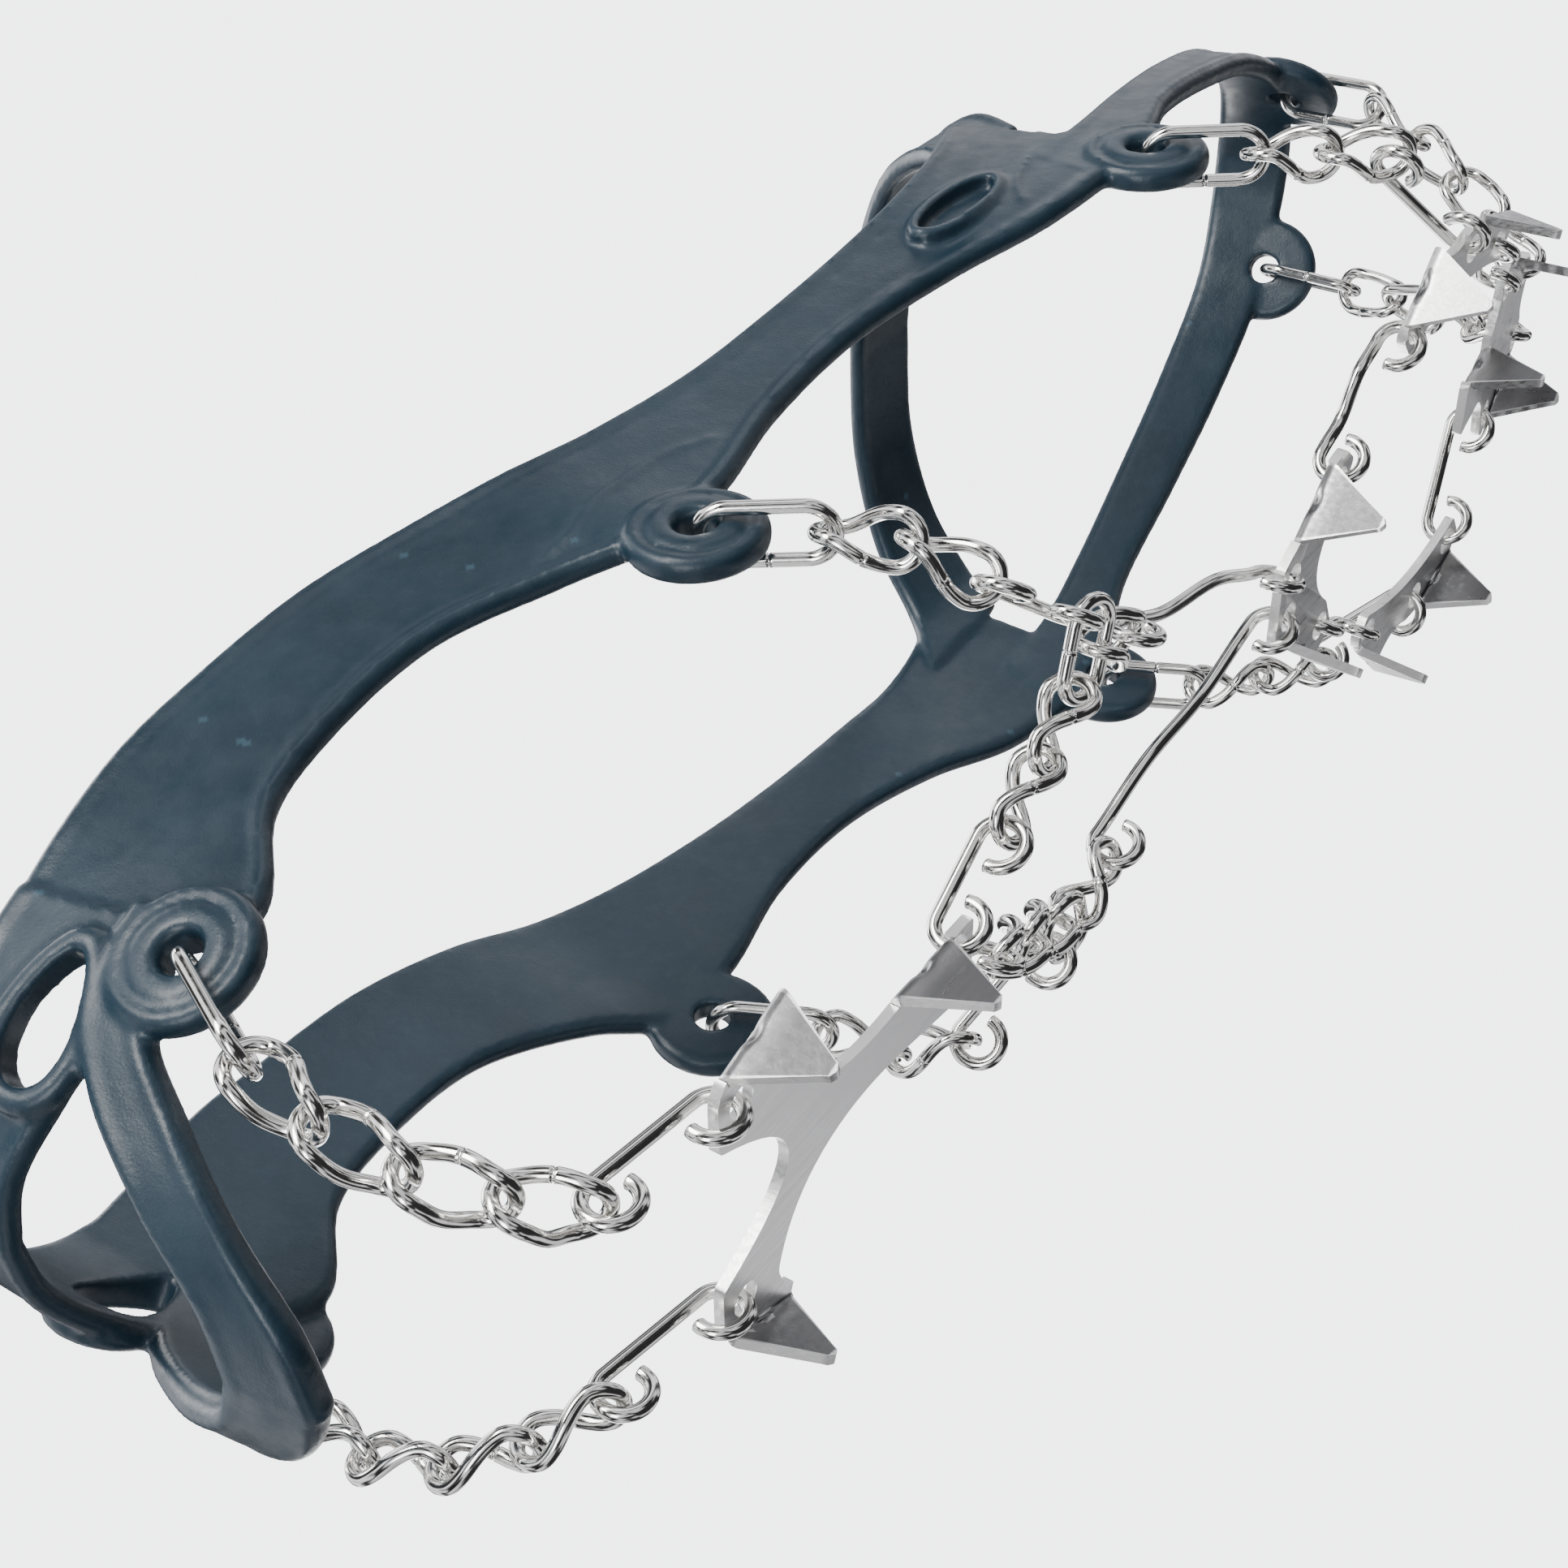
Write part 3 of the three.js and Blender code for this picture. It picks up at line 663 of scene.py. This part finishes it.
def tipped(points):
    """The toe plate is drawn flat and tipped up about its rear."""
    c, s = math.cos(TOE_TILT), math.sin(TOE_TILT)
    turn = np.array([[c, 0, -s], [0, 1, 0], [s, 0, c]])
    hinge = vec(TOE_HINGE_X, 0, 0)
    return (np.asarray(points, float) - hinge) @ turn.T + hinge


def add_plates():
    add_plate("heel_plate", plate_data(HEEL_PLATE))
    add_plate("ball_plate", plate_data(BALL_PLATE))
    side = plate_data(SIDE_PLATE)
    add_plate("side_plate_near", side)
    add_plate("side_plate_far", mirrored(*side))
    vertices, faces = plate_data(TOE_PLATE)
    add_plate("toe_plate", (tipped(vertices), faces))


# ---- harness ---------------------------------------------------------------------------------
def through(points, t):
    """The centripetal Catmull-Rom curve through the points, t from 0 to 1."""
    last = len(points) - 1
    i = min(int(t * last), last - 1)
    w = t * last - i
    p1, p2 = points[i], points[i + 1]
    p0 = points[i - 1] if i else 2 * p1 - p2
    p3 = points[i + 2] if i + 2 <= last else 2 * p2 - p1
    d0, d1, d2 = (math.sqrt(np.linalg.norm(b - a)) for a, b in ((p0, p1), (p1, p2), (p2, p3)))
    m1 = ((p1 - p0) / d0 - (p2 - p0) / (d0 + d1) + (p2 - p1) / d1) * d1
    m2 = ((p2 - p1) / d1 - (p3 - p1) / (d1 + d2) + (p3 - p2) / d2) * d1
    return (p1 + m1 * w + (-3 * p1 + 3 * p2 - 2 * m1 - m2) * w ** 2
            + (2 * p1 - 2 * p2 + m1 + m2) * w ** 3)


class Ribbon:
    """A band of rubber through [lower, upper] stations; `out` is +1 or -1, the outer face's side."""

    def __init__(self, stations, out, thickness=BAND_THICKNESS, rim=0.5):
        self.edges = [[vec(*station[k]) for station in stations] for k in (0, 1)]
        self.out = out
        self.thickness = thickness
        self.rim = rim

    def place(self, u, v):
        low, high = (through(edge, u) for edge in self.edges)
        return low + (high - low) * v

    def normal(self, u, v):
        along = self.place(min(u + 0.01, 1), v) - self.place(max(u - 0.01, 0), v)
        return self.out * unit(np.cross(along, self.place(u, 1) - self.place(u, 0)))

    def surface(self, u, v):
        return self.place(u, v) + self.normal(u, v) * (self.thickness / 2)

    def data(self, along, across=26):
        """Closed mesh with rounded edges, and a raised rim along both edges of the outer face."""
        shares = (1 - np.cos(np.linspace(0, math.pi, across + 1))) / 2
        vertices, faces = [], []
        for i in range(along + 1):
            u = i / along
            width = np.linalg.norm(self.place(u, 1) - self.place(u, 0))
            fade = math.sin(math.pi * min(max(u, 0.0), 1.0)) ** 0.25
            outer, inner = [], []
            for v in shares:
                depth = min(v, 1 - v) * width
                rounding = math.sqrt(max(1 - (1 - min(depth / 1.7, 1)) ** 2, 0.0))
                raised = math.exp(-((depth - 1.7) / 0.95) ** 2)
                sunk = math.exp(-((depth - 4.0) / 0.8) ** 2)
                rim = raised - 0.35 * sunk
                place, normal = self.place(u, v), self.normal(u, v)
                half = self.thickness / 2 * rounding
                outer.append(place + normal * (half + self.rim * fade * rim * rounding))
                inner.append(place - normal * half)
            ring = outer + inner[-2:0:-1]
            vertices.extend(ring)
        count = 2 * across
        for i in range(along):
            for k in range(count):
                m = (k + 1) % count
                faces.append((i * count + k, i * count + m, (i + 1) * count + m, (i + 1) * count + k))
        faces.append(tuple(reversed(range(count))))
        faces.append(tuple(range(along * count, (along + 1) * count)))
        if self.out < 0:
            faces = [tuple(reversed(face)) for face in faces]
        return np.array(vertices), faces

    def ridge(self, route, radius=0.5):
        """A moulded line on the outer face, through (u, v) places."""
        marks = [vec(*mark) for mark in route]
        points = [self.surface(*through(marks, t)) for t in np.linspace(0, 1, RIDGE_STEPS)]
        radii = np.full(RIDGE_STEPS, radius)
        radii[[0, -1]] = radius * 0.3
        return tube(points, radii, closed=False, sides=10)


FLANK = [
    [[-133, -30.8, 54], [-136.6, -26.5, 81]],
    [[-121, -33.5, 52], [-122, -30, 85]],
    [[-107.6, -34.5, 62], [-108, -32, 88]],
    [[-96, -35.5, 65], [-96, -33.5, 88.5]],
    [[-74.6, -37.5, 65], [-75, -35.5, 88]],
    [[-57.7, -40, 57], [-58, -37.5, 84]],
    [[-47, -43, 49.5], [-45, -40, 79]],
    [[-33, -43, 49.5], [-31, -41, 74.5]],
    [[-14, -43.3, 53.7], [-12, -42, 71]],
    [[7.7, -44.7, 54.5], [7, -43.6, 69.7]],
    [[27.8, -46.7, 50.6], [27, -45.2, 69.5]],
    [[44, -49, 45], [42, -46.7, 70]],
    [[60, -50, 43], [56, -46.7, 72.5]],
    [[73, -49.8, 43], [68, -45.2, 76.5]],
]
HEEL_BAND = [
    [[-128, -32, 60], [-130, -29, 83]],
    [[-139, -27.5, 59], [-140, -24.5, 82]],
    [[-147, -19.5, 61], [-148, -18, 82]],
    [[-153, -10, 64], [-153, -9.5, 84]],
    [[-155, 0.5, 65], [-155, 0.5, 86]],
]
HEEL_BAR = [
    [[-128, -32.5, 57], [-127, -32.5, 66]],
    [[-138, -28.5, 54], [-137.5, -28, 65]],
    [[-144.7, -23.5, 43.5], [-146, -22, 57]],
    [[-149.5, -17.5, 33], [-151.5, -16.5, 46]],
    [[-152, -9, 23], [-154, -8.5, 36]],
    [[-152.5, 0.5, 19.5], [-154.5, 0.5, 33]],
]
TOE_BAR = [
    [[58, -49.7, 44], [60, -48.3, 57]],
    [[76, -49, 45], [77, -47.3, 58]],
    [[93.5, -46.3, 50.5], [92, -45, 60.5]],
    [[117, -41, 54], [116, -39.5, 65]],
    [[140, -33.5, 57], [139, -32, 69]],
    [[160, -22, 59.5], [158, -20.5, 72]],
    [[170, -9, 61.5], [167.5, -8, 75]],
    [[172.5, 0.5, 62], [170, 0.5, 76]],
]
INSTEP_STRAP = [
    [[50, -47, 66], [73, -46, 66]],
    [[60, -43.8, 76], [78, -43.3, 76]],
    [[64, -36, 85], [80, -35.5, 84]],
    [[66, -20, 91], [81, -20, 90]],
    [[67, 0.5, 93], [82, 0.5, 92]],
]

# Eyelets: hole centre, outward normal of the rubber, direction the long link hangs in.
EYELETS = {
    "heel": ([-131, -32.3, 55], [-0.35, -0.93, 0.1], [-0.397, 0.18, -0.9]),
    "mid": ([-44, -43.6, 46], [0, -1, 0.08], [0.5, 0, -0.86]),
    "ball": ([69, -50, 42], [0.02, -1, 0.08], [0.51, 0, -0.86]),
    "toe": ([163.5, -18.4, 60.5], [0.8, -0.6, 0.12], [0.12, 0, -0.99]),
}
PULL_HOLE = (vec(-141.5, -25, 67), vec(-0.6, -0.8, 0), 4.0, 2.1)     # centre, axis, radius, stretch
RECESS = (vec(41, -49.6, 58.6), vec(0, -1, 0.12), 3.0, 3.2)


def peg_basis(axis):
    return frame_of(np.cross(UP, unit(axis)), unit(axis))


def lathe(profile, centre, axis, sides=LATHE_SIDES):
    """A closed turned shape: profile is (radius, height) along the axis, from top to bottom."""
    basis = peg_basis(axis)
    vertices, faces = [], []
    for radius, height in profile:
        for k in range(sides):
            a = 2 * math.pi * k / sides
            vertices.append(centre + basis @ vec(radius * math.cos(a), radius * math.sin(a), height))
    rows = len(profile)
    for i in range(rows - 1):
        for k in range(sides):
            m = (k + 1) % sides
            faces.append((i * sides + k, (i + 1) * sides + k, (i + 1) * sides + m, i * sides + m))
    faces.append(tuple(range(sides)))
    faces.append(tuple(reversed(range((rows - 1) * sides, rows * sides))))
    return vertices, faces


def lobe(centre, axis):
    """The round end of an eyelet lobe: rounded edge, raised rim and a boss round the hole."""
    half = LOBE_THICKNESS / 2
    outer = [(3.0, half + 0.55), (5.6, half + 0.6), (6.3, half + 0.35), (6.7, half - 0.25),
             (7.2, half - 0.3), (7.7, half + 0.1), (8.3, half + 0.25), (8.9, half - 0.05)]
    edge = [(LOBE_RADIUS + 0.4 * math.cos(a), half * 0.75 * math.sin(a))
            for a in np.linspace(math.pi / 2.4, -math.pi / 2.4, 7)]
    return lathe(outer + edge + [(8.7, -half + 0.1), (3.0, -half)], centre, axis)


def oval_route(centre, axis, radius, stretch, lift, point=0.0, steps=OVAL_STEPS):
    """Round an oval; `point` above 0 draws one end out like a drop."""
    basis = peg_basis(axis)
    route = []
    for a in np.linspace(0, 2 * math.pi, steps, endpoint=False):
        x = radius * stretch * math.cos(a)
        y = radius * math.sin(a) * (1 - point * math.cos(a))
        route.append(centre + basis @ vec(x, y, lift))
    return route


def oval_cutter(centre, axis, radius, stretch, low, high, point=0.0):
    top = oval_route(centre, axis, radius, stretch, high, point)
    bottom = oval_route(centre, axis, radius, stretch, low, point)
    count = len(top)
    faces = [tuple(range(count)), tuple(reversed(range(count, 2 * count)))]
    for i in range(count):
        j = (i + 1) % count
        faces.append((i, i + count, j + count, j))
    return top + bottom, faces


def harness_shapes():
    """Closed shapes that overlap into the near half of the harness."""
    flank = Ribbon(FLANK, 1)
    parts = [
        flank.data(150, 30),
        Ribbon(HEEL_BAND, -1).data(44),
        Ribbon(HEEL_BAR, -1, thickness=4.4, rim=0.2).data(60),
        Ribbon(TOE_BAR, 1, thickness=3.8, rim=0.3).data(90),
        Ribbon(INSTEP_STRAP, -1).data(50),
        flank.ridge([(0.385, 0.16), (0.43, 0.30), (0.475, 0.44), (0.53, 0.46), (0.575, 0.26)], 0.42),
        flank.ridge([(0.86, 0.22), (0.90, 0.42), (0.945, 0.46), (0.985, 0.40)], 0.42),
    ]
    for hole, normal, _ in EYELETS.values():
        parts.append(lobe(vec(*hole), vec(*normal)))
    centre, axis, radius, stretch = PULL_HOLE
    rim_radius = radius + 1.4
    rim_stretch = (radius * stretch + 1.4) / rim_radius
    pull_rim = oval_route(centre, axis, rim_radius, rim_stretch, 0.5, 0.3)
    parts.append(tube(pull_rim, 1.9, closed=True, sides=14))
    centre, axis, radius, stretch = RECESS
    rim_radius = radius + 0.7
    rim_stretch = (radius * stretch + 0.7) / rim_radius
    recess_rim = oval_route(centre, axis, rim_radius, rim_stretch, -0.2)
    parts.append(tube(recess_rim, 1.2, closed=True, sides=12))
    return parts


def harness_cutters():
    parts = []
    for hole, normal, _ in EYELETS.values():
        flare = [(EYELET_RADIUS + 0.9, 6), (EYELET_RADIUS + 0.9, 2.6), (EYELET_RADIUS + 0.1, 1.5),
                 (EYELET_RADIUS, -6)]
        parts.append(lathe(flare, vec(*hole), vec(*normal)))
    centre, axis, radius, stretch = PULL_HOLE
    parts.append(oval_cutter(centre, axis, radius, stretch, -7, 7, 0.3))
    centre, axis, radius, stretch = RECESS
    parts.append(oval_cutter(centre, axis, radius, stretch, -1.5, 4))
    return parts


def add_harness():
    near = joined(harness_shapes())
    body = make_object("rubber_moulding", *joined([near, mirrored(*near)]), RUBBER)
    modify(body, "REMESH", mode="VOXEL", voxel_size=RUBBER_VOXEL * MM, adaptivity=0)
    apply_modifiers(body)
    cutters = joined(harness_cutters())
    combine(body, joined([cutters, mirrored(*cutters)]), "DIFFERENCE", "MANIFOLD")
    modify(body, "REMESH", mode="VOXEL", voxel_size=RUBBER_VOXEL * MM, adaptivity=0)
    modify(body, "SMOOTH", factor=0.5, iterations=5)
    apply_modifiers(body)
    body.data.polygons.foreach_set("use_smooth", [True] * len(body.data.polygons))
    body.data.materials.clear()
    body.data.materials.append(RUBBER)
    stands_for(body, "rubber_harness")


# ---- chains and connectors -------------------------------------------------------------------
def hole_at(hole):
    return vec(*hole, 0)


def towards(start, end, reach):
    return start + unit(end - start) * reach


def loop_at(hole, other):
    """Centre of the loop that hooks through a plate hole, for a connector that comes from `other`."""
    reach = (other - hole) * [1, 1, 0]
    return hole + unit(reach) * CURL_RADIUS + UP * LOOP_HEIGHT


def corner_shift(pull, along):
    """A hooked wire sits round a ring's end arc where the chain turns a corner."""
    return (pull - along) * (LINK_RADIUS - HOOK / 2)


def add_hangers():
    """Long links through the eyelets; each gives the joint that the chain below starts from."""
    hangers = {}
    for name, (hole, normal, hang) in EYELETS.items():
        hole, normal, hang = vec(*hole), unit(vec(*normal)), vec(*hang)
        hang = unit(hang - normal * hang.dot(normal))
        top = hole + hang * HOOK / 2
        foot = hole + hang * (2 * EYELET_LINK_HALF - HOOK / 2)
        quarter = (math.pi / 2, math.pi / 2)
        add_ring(f"eyelet_link_{name}", top, foot, normal, EYELET_LINK_RADIUS, quarter)
        hangers[name] = (foot, normal)
    return hangers


def add_heel_chain(foot, normal):
    turn = vec(-122.5, -16.5, 3)
    loop = loop_at(hole_at(HEEL_HOLE), turn)
    add_connector("connector_heel", turn, loop, UP)
    start = towards(turn, loop, -CURL_REACH)
    add_links("chain_heel", slack_run(start, foot, 4, vec(-0.9, -0.25, -0.35)), (DOWN, normal))


def add_instep_chain(foot, normal):
    """Mid eyelet to hub ring, then back to the heel plate and forward to the ball plate."""
    mid_loop, mid_turn, mid_normal = vec(-28.3, -40.2, 9.6), vec(-15.5, -29.5, 4.5), vec(0, -0.2, -1)
    mid_end = towards(mid_loop, foot, CURL_REACH)
    add_links("chain_mid", slack_run(foot, mid_end, 2, vec(0, -1, -0.3)), (normal, mid_normal))
    add_connector("connector_mid", mid_loop, towards(mid_turn, mid_loop, CURL_REACH), -mid_normal)

    back = unit(vec(-0.38, 0.92, -0.06))
    hub_start = mid_turn + corner_shift(unit(mid_turn - mid_loop), back)
    hub_end = hub_start + back * PITCH
    add_ring("hub_ring", hub_start, hub_end, vec(-0.17, -0.2, -0.95), LINK_RADIUS, (0, 0))

    plate_end = hole_at(HEEL_FRONT_HOLE)
    start = hub_end + corner_shift(unit(plate_end - hub_end), back)
    end = towards(start, plate_end, 2 * PITCH)
    joints = [start, towards(start, plate_end, PITCH), end]
    add_links("chain_back", joints, (DOWN, DOWN), -math.pi / 2)
    add_connector("connector_back", towards(end, plate_end, CURL_REACH), loop_at(plate_end, end), UP)

    forward = unit(np.cross(back, UP))
    fork = (hub_start + hub_end) / 2 + forward * (LINK_RADIUS - HOOK / 2)
    fork_end = fork + forward * PITCH
    add_ring("chain_fork", fork, fork_end, DOWN, LINK_RADIUS, (-math.pi / 2, LINK_SKEW))
    ball = hole_at(BALL_REAR_HOLE)
    add_connector("connector_fork", towards(fork_end, ball, CURL_REACH), loop_at(ball, fork_end),
                  UP, WAVE_HEIGHT)


def add_plate_connectors():
    ball, side = hole_at(BALL_FRONT_HOLE), hole_at(SIDE_REAR_HOLE)
    add_connector("connector_ball", loop_at(ball, side), loop_at(side, ball), UP, WAVE_HEIGHT)
    side, toe = hole_at(SIDE_FRONT_HOLE), tipped(hole_at(TOE_SIDE_HOLE))
    add_connector("connector_toe", loop_at(side, toe), loop_at(toe, side), UP)


def add_side_chain(foot, normal):
    turn, side_normal = vec(93, -47, 11), vec(0, -0.2, -1)
    loop = loop_at(hole_at(SIDE_OUTER_HOLE), turn)
    joint = towards(turn, loop, -CURL_REACH)
    start = joint + corner_shift(unit(joint - foot), unit(loop - turn)) + vec(0.4, 0.5, -1.5)
    add_links("chain_side", slack_run(foot, start, 2, vec(0, -1, -0.3)), (normal, side_normal))
    add_connector("connector_side", turn, loop, -side_normal)


def add_toe_chain(foot, normal):
    end = tipped(hole_at(TOE_FRONT_HOLE)) + vec(1.2, -0.25, -0.25)
    joints = slack_run(foot, end, 4, vec(0.8, -0.4, -1))
    add_links("chain_toe", joints, (normal, vec(0.1, 0.08, -1)), -LINK_SKEW, -math.pi / 2)


add_harness()
add_plates()
hangers = add_hangers()
add_heel_chain(*hangers["heel"])
add_instep_chain(*hangers["mid"])
add_side_chain(*hangers["ball"])
add_toe_chain(*hangers["toe"])
add_plate_connectors()


# ---- stage, lights and camera (metres) -------------------------------------------------------
def add_floor():
    half, height = 40.0, -0.19
    corners = [(-half, -half), (half, -half), (half, half), (-half, half)]
    floor = make_object("floor", [(x / MM, y / MM, height / MM) for x, y in corners], [(0, 1, 2, 3)])
    n = Nodes("pale_floor")
    n.link(n.ramp(n.noise(3, 3), (0.3, 0.80), (0.7, 0.84)), n.shader.inputs["Base Color"])
    n.shader.inputs["Roughness"].default_value = 0.75
    n.shader.inputs["Emission Color"].default_value = (0.95, 0.97, 1.0, 1)
    n.shader.inputs["Emission Strength"].default_value = 1.7
    floor.data.materials.append(n.material)
    floor.visible_glossy = False
    floor.visible_diffuse = False


def add_light(name, place, aim, size, power, colour=(1, 1, 1)):
    data = bpy.data.lights.new(name, "AREA")
    data.shape = "RECTANGLE"
    data.size, data.size_y = size
    data.energy = power
    data.color = colour
    light = bpy.data.objects.new(name, data)
    light.location = place
    light.rotation_mode = "QUATERNION"
    light.rotation_quaternion = (Vector(aim) - Vector(place)).to_track_quat("-Z", "Y")
    light.visible_camera = False
    bpy.context.scene.collection.objects.link(light)


def add_world():
    """A pale studio.  What the metal mirrors is banded: pale floor, dark horizon, bright ceiling."""
    world = bpy.data.worlds.new("studio")
    bpy.context.scene.world = world
    world.use_nodes = True
    nodes, links = world.node_tree.nodes, world.node_tree.links
    nodes.clear()

    def background(strength):
        node = nodes.new("ShaderNodeBackground")
        node.inputs["Color"].default_value = (0.96, 0.97, 1.0, 1)
        node.inputs["Strength"].default_value = strength
        return node

    def choose(ray, otherwise, chosen):
        node = nodes.new("ShaderNodeMixShader")
        links.new(path.outputs[ray], node.inputs["Fac"])
        links.new(otherwise, node.inputs[1])
        links.new(chosen, node.inputs[2])
        return node.outputs["Shader"]

    direction = nodes.new("ShaderNodeTexCoord").outputs["Generated"]
    ripple = nodes.new("ShaderNodeTexNoise")
    ripple.inputs["Scale"].default_value = 1.5
    ripple.inputs["Detail"].default_value = 1.0
    links.new(direction, ripple.inputs["Vector"])
    height = nodes.new("ShaderNodeSeparateXYZ")
    links.new(direction, height.inputs["Vector"])
    rise = nodes.new("ShaderNodeMath")
    rise.operation = "MULTIPLY_ADD"
    rise.inputs[1].default_value = 0.5
    links.new(height.outputs["Z"], rise.inputs[0])
    links.new(ripple.outputs["Fac"], rise.inputs[2])
    ramp = nodes.new("ShaderNodeValToRGB")
    bands = [(0.18, 0.03), (0.25, 0.85), (0.38, 1.0), (0.44, 0.015), (0.58, 0.01), (0.66, 1.3),
             (0.80, 1.7), (0.88, 0.03)]
    elements = ramp.color_ramp.elements
    while len(elements) < len(bands):
        elements.new(0.5)
    for element, (position, grey) in zip(elements, bands):
        element.position = position
        element.color = (grey, grey, grey * 1.04, 1)
    links.new(rise.outputs[0], ramp.inputs["Fac"])
    mirrored_world = background(1.0)
    links.new(ramp.outputs["Color"], mirrored_world.inputs["Color"])

    path = nodes.new("ShaderNodeLightPath")
    lighting = choose("Is Glossy Ray", background(0.35).outputs[0], mirrored_world.outputs[0])
    seen = choose("Is Camera Ray", lighting, background(4.5).outputs[0])
    output = nodes.new("ShaderNodeOutputWorld")
    links.new(seen, output.inputs["Surface"])


def add_camera():
    """Below and behind the heel on the near side, looking up at the sole."""
    place = Vector((-0.2827, -0.2452, -0.1287))
    look = Vector((0.640, 0.635, 0.433)).normalized()
    top = Vector((0.530, -0.773, 0.350))
    right = look.cross(top).normalized()
    top = right.cross(look)
    data = bpy.data.cameras.new("camera")
    data.sensor_width = 36
    data.lens = 63.8
    data.clip_start = 0.01
    camera = bpy.data.objects.new("camera", data)
    basis = Matrix((right, top, -look)).transposed()
    camera.matrix_world = Matrix.Translation(place) @ basis.to_4x4()
    bpy.context.scene.collection.objects.link(camera)
    bpy.context.scene.camera = camera


add_floor()
add_light("key", (-0.5, -0.95, 0.55), (0, 0, 0.03), (0.9, 0.4), 14, (1.0, 0.99, 0.97))
add_light("top", (0.1, 0.2, 1.2), (0, 0, 0.03), (0.8, 0.5), 7)
add_light("sole_fill", (-0.75, -0.25, -0.12), (0, 0, 0.02), (0.4, 0.2), 2, (0.97, 0.98, 1.0))
add_light("back", (0.3, 1.1, 0.3), (0, 0, 0.03), (0.7, 0.4), 4)
add_world()
add_camera()
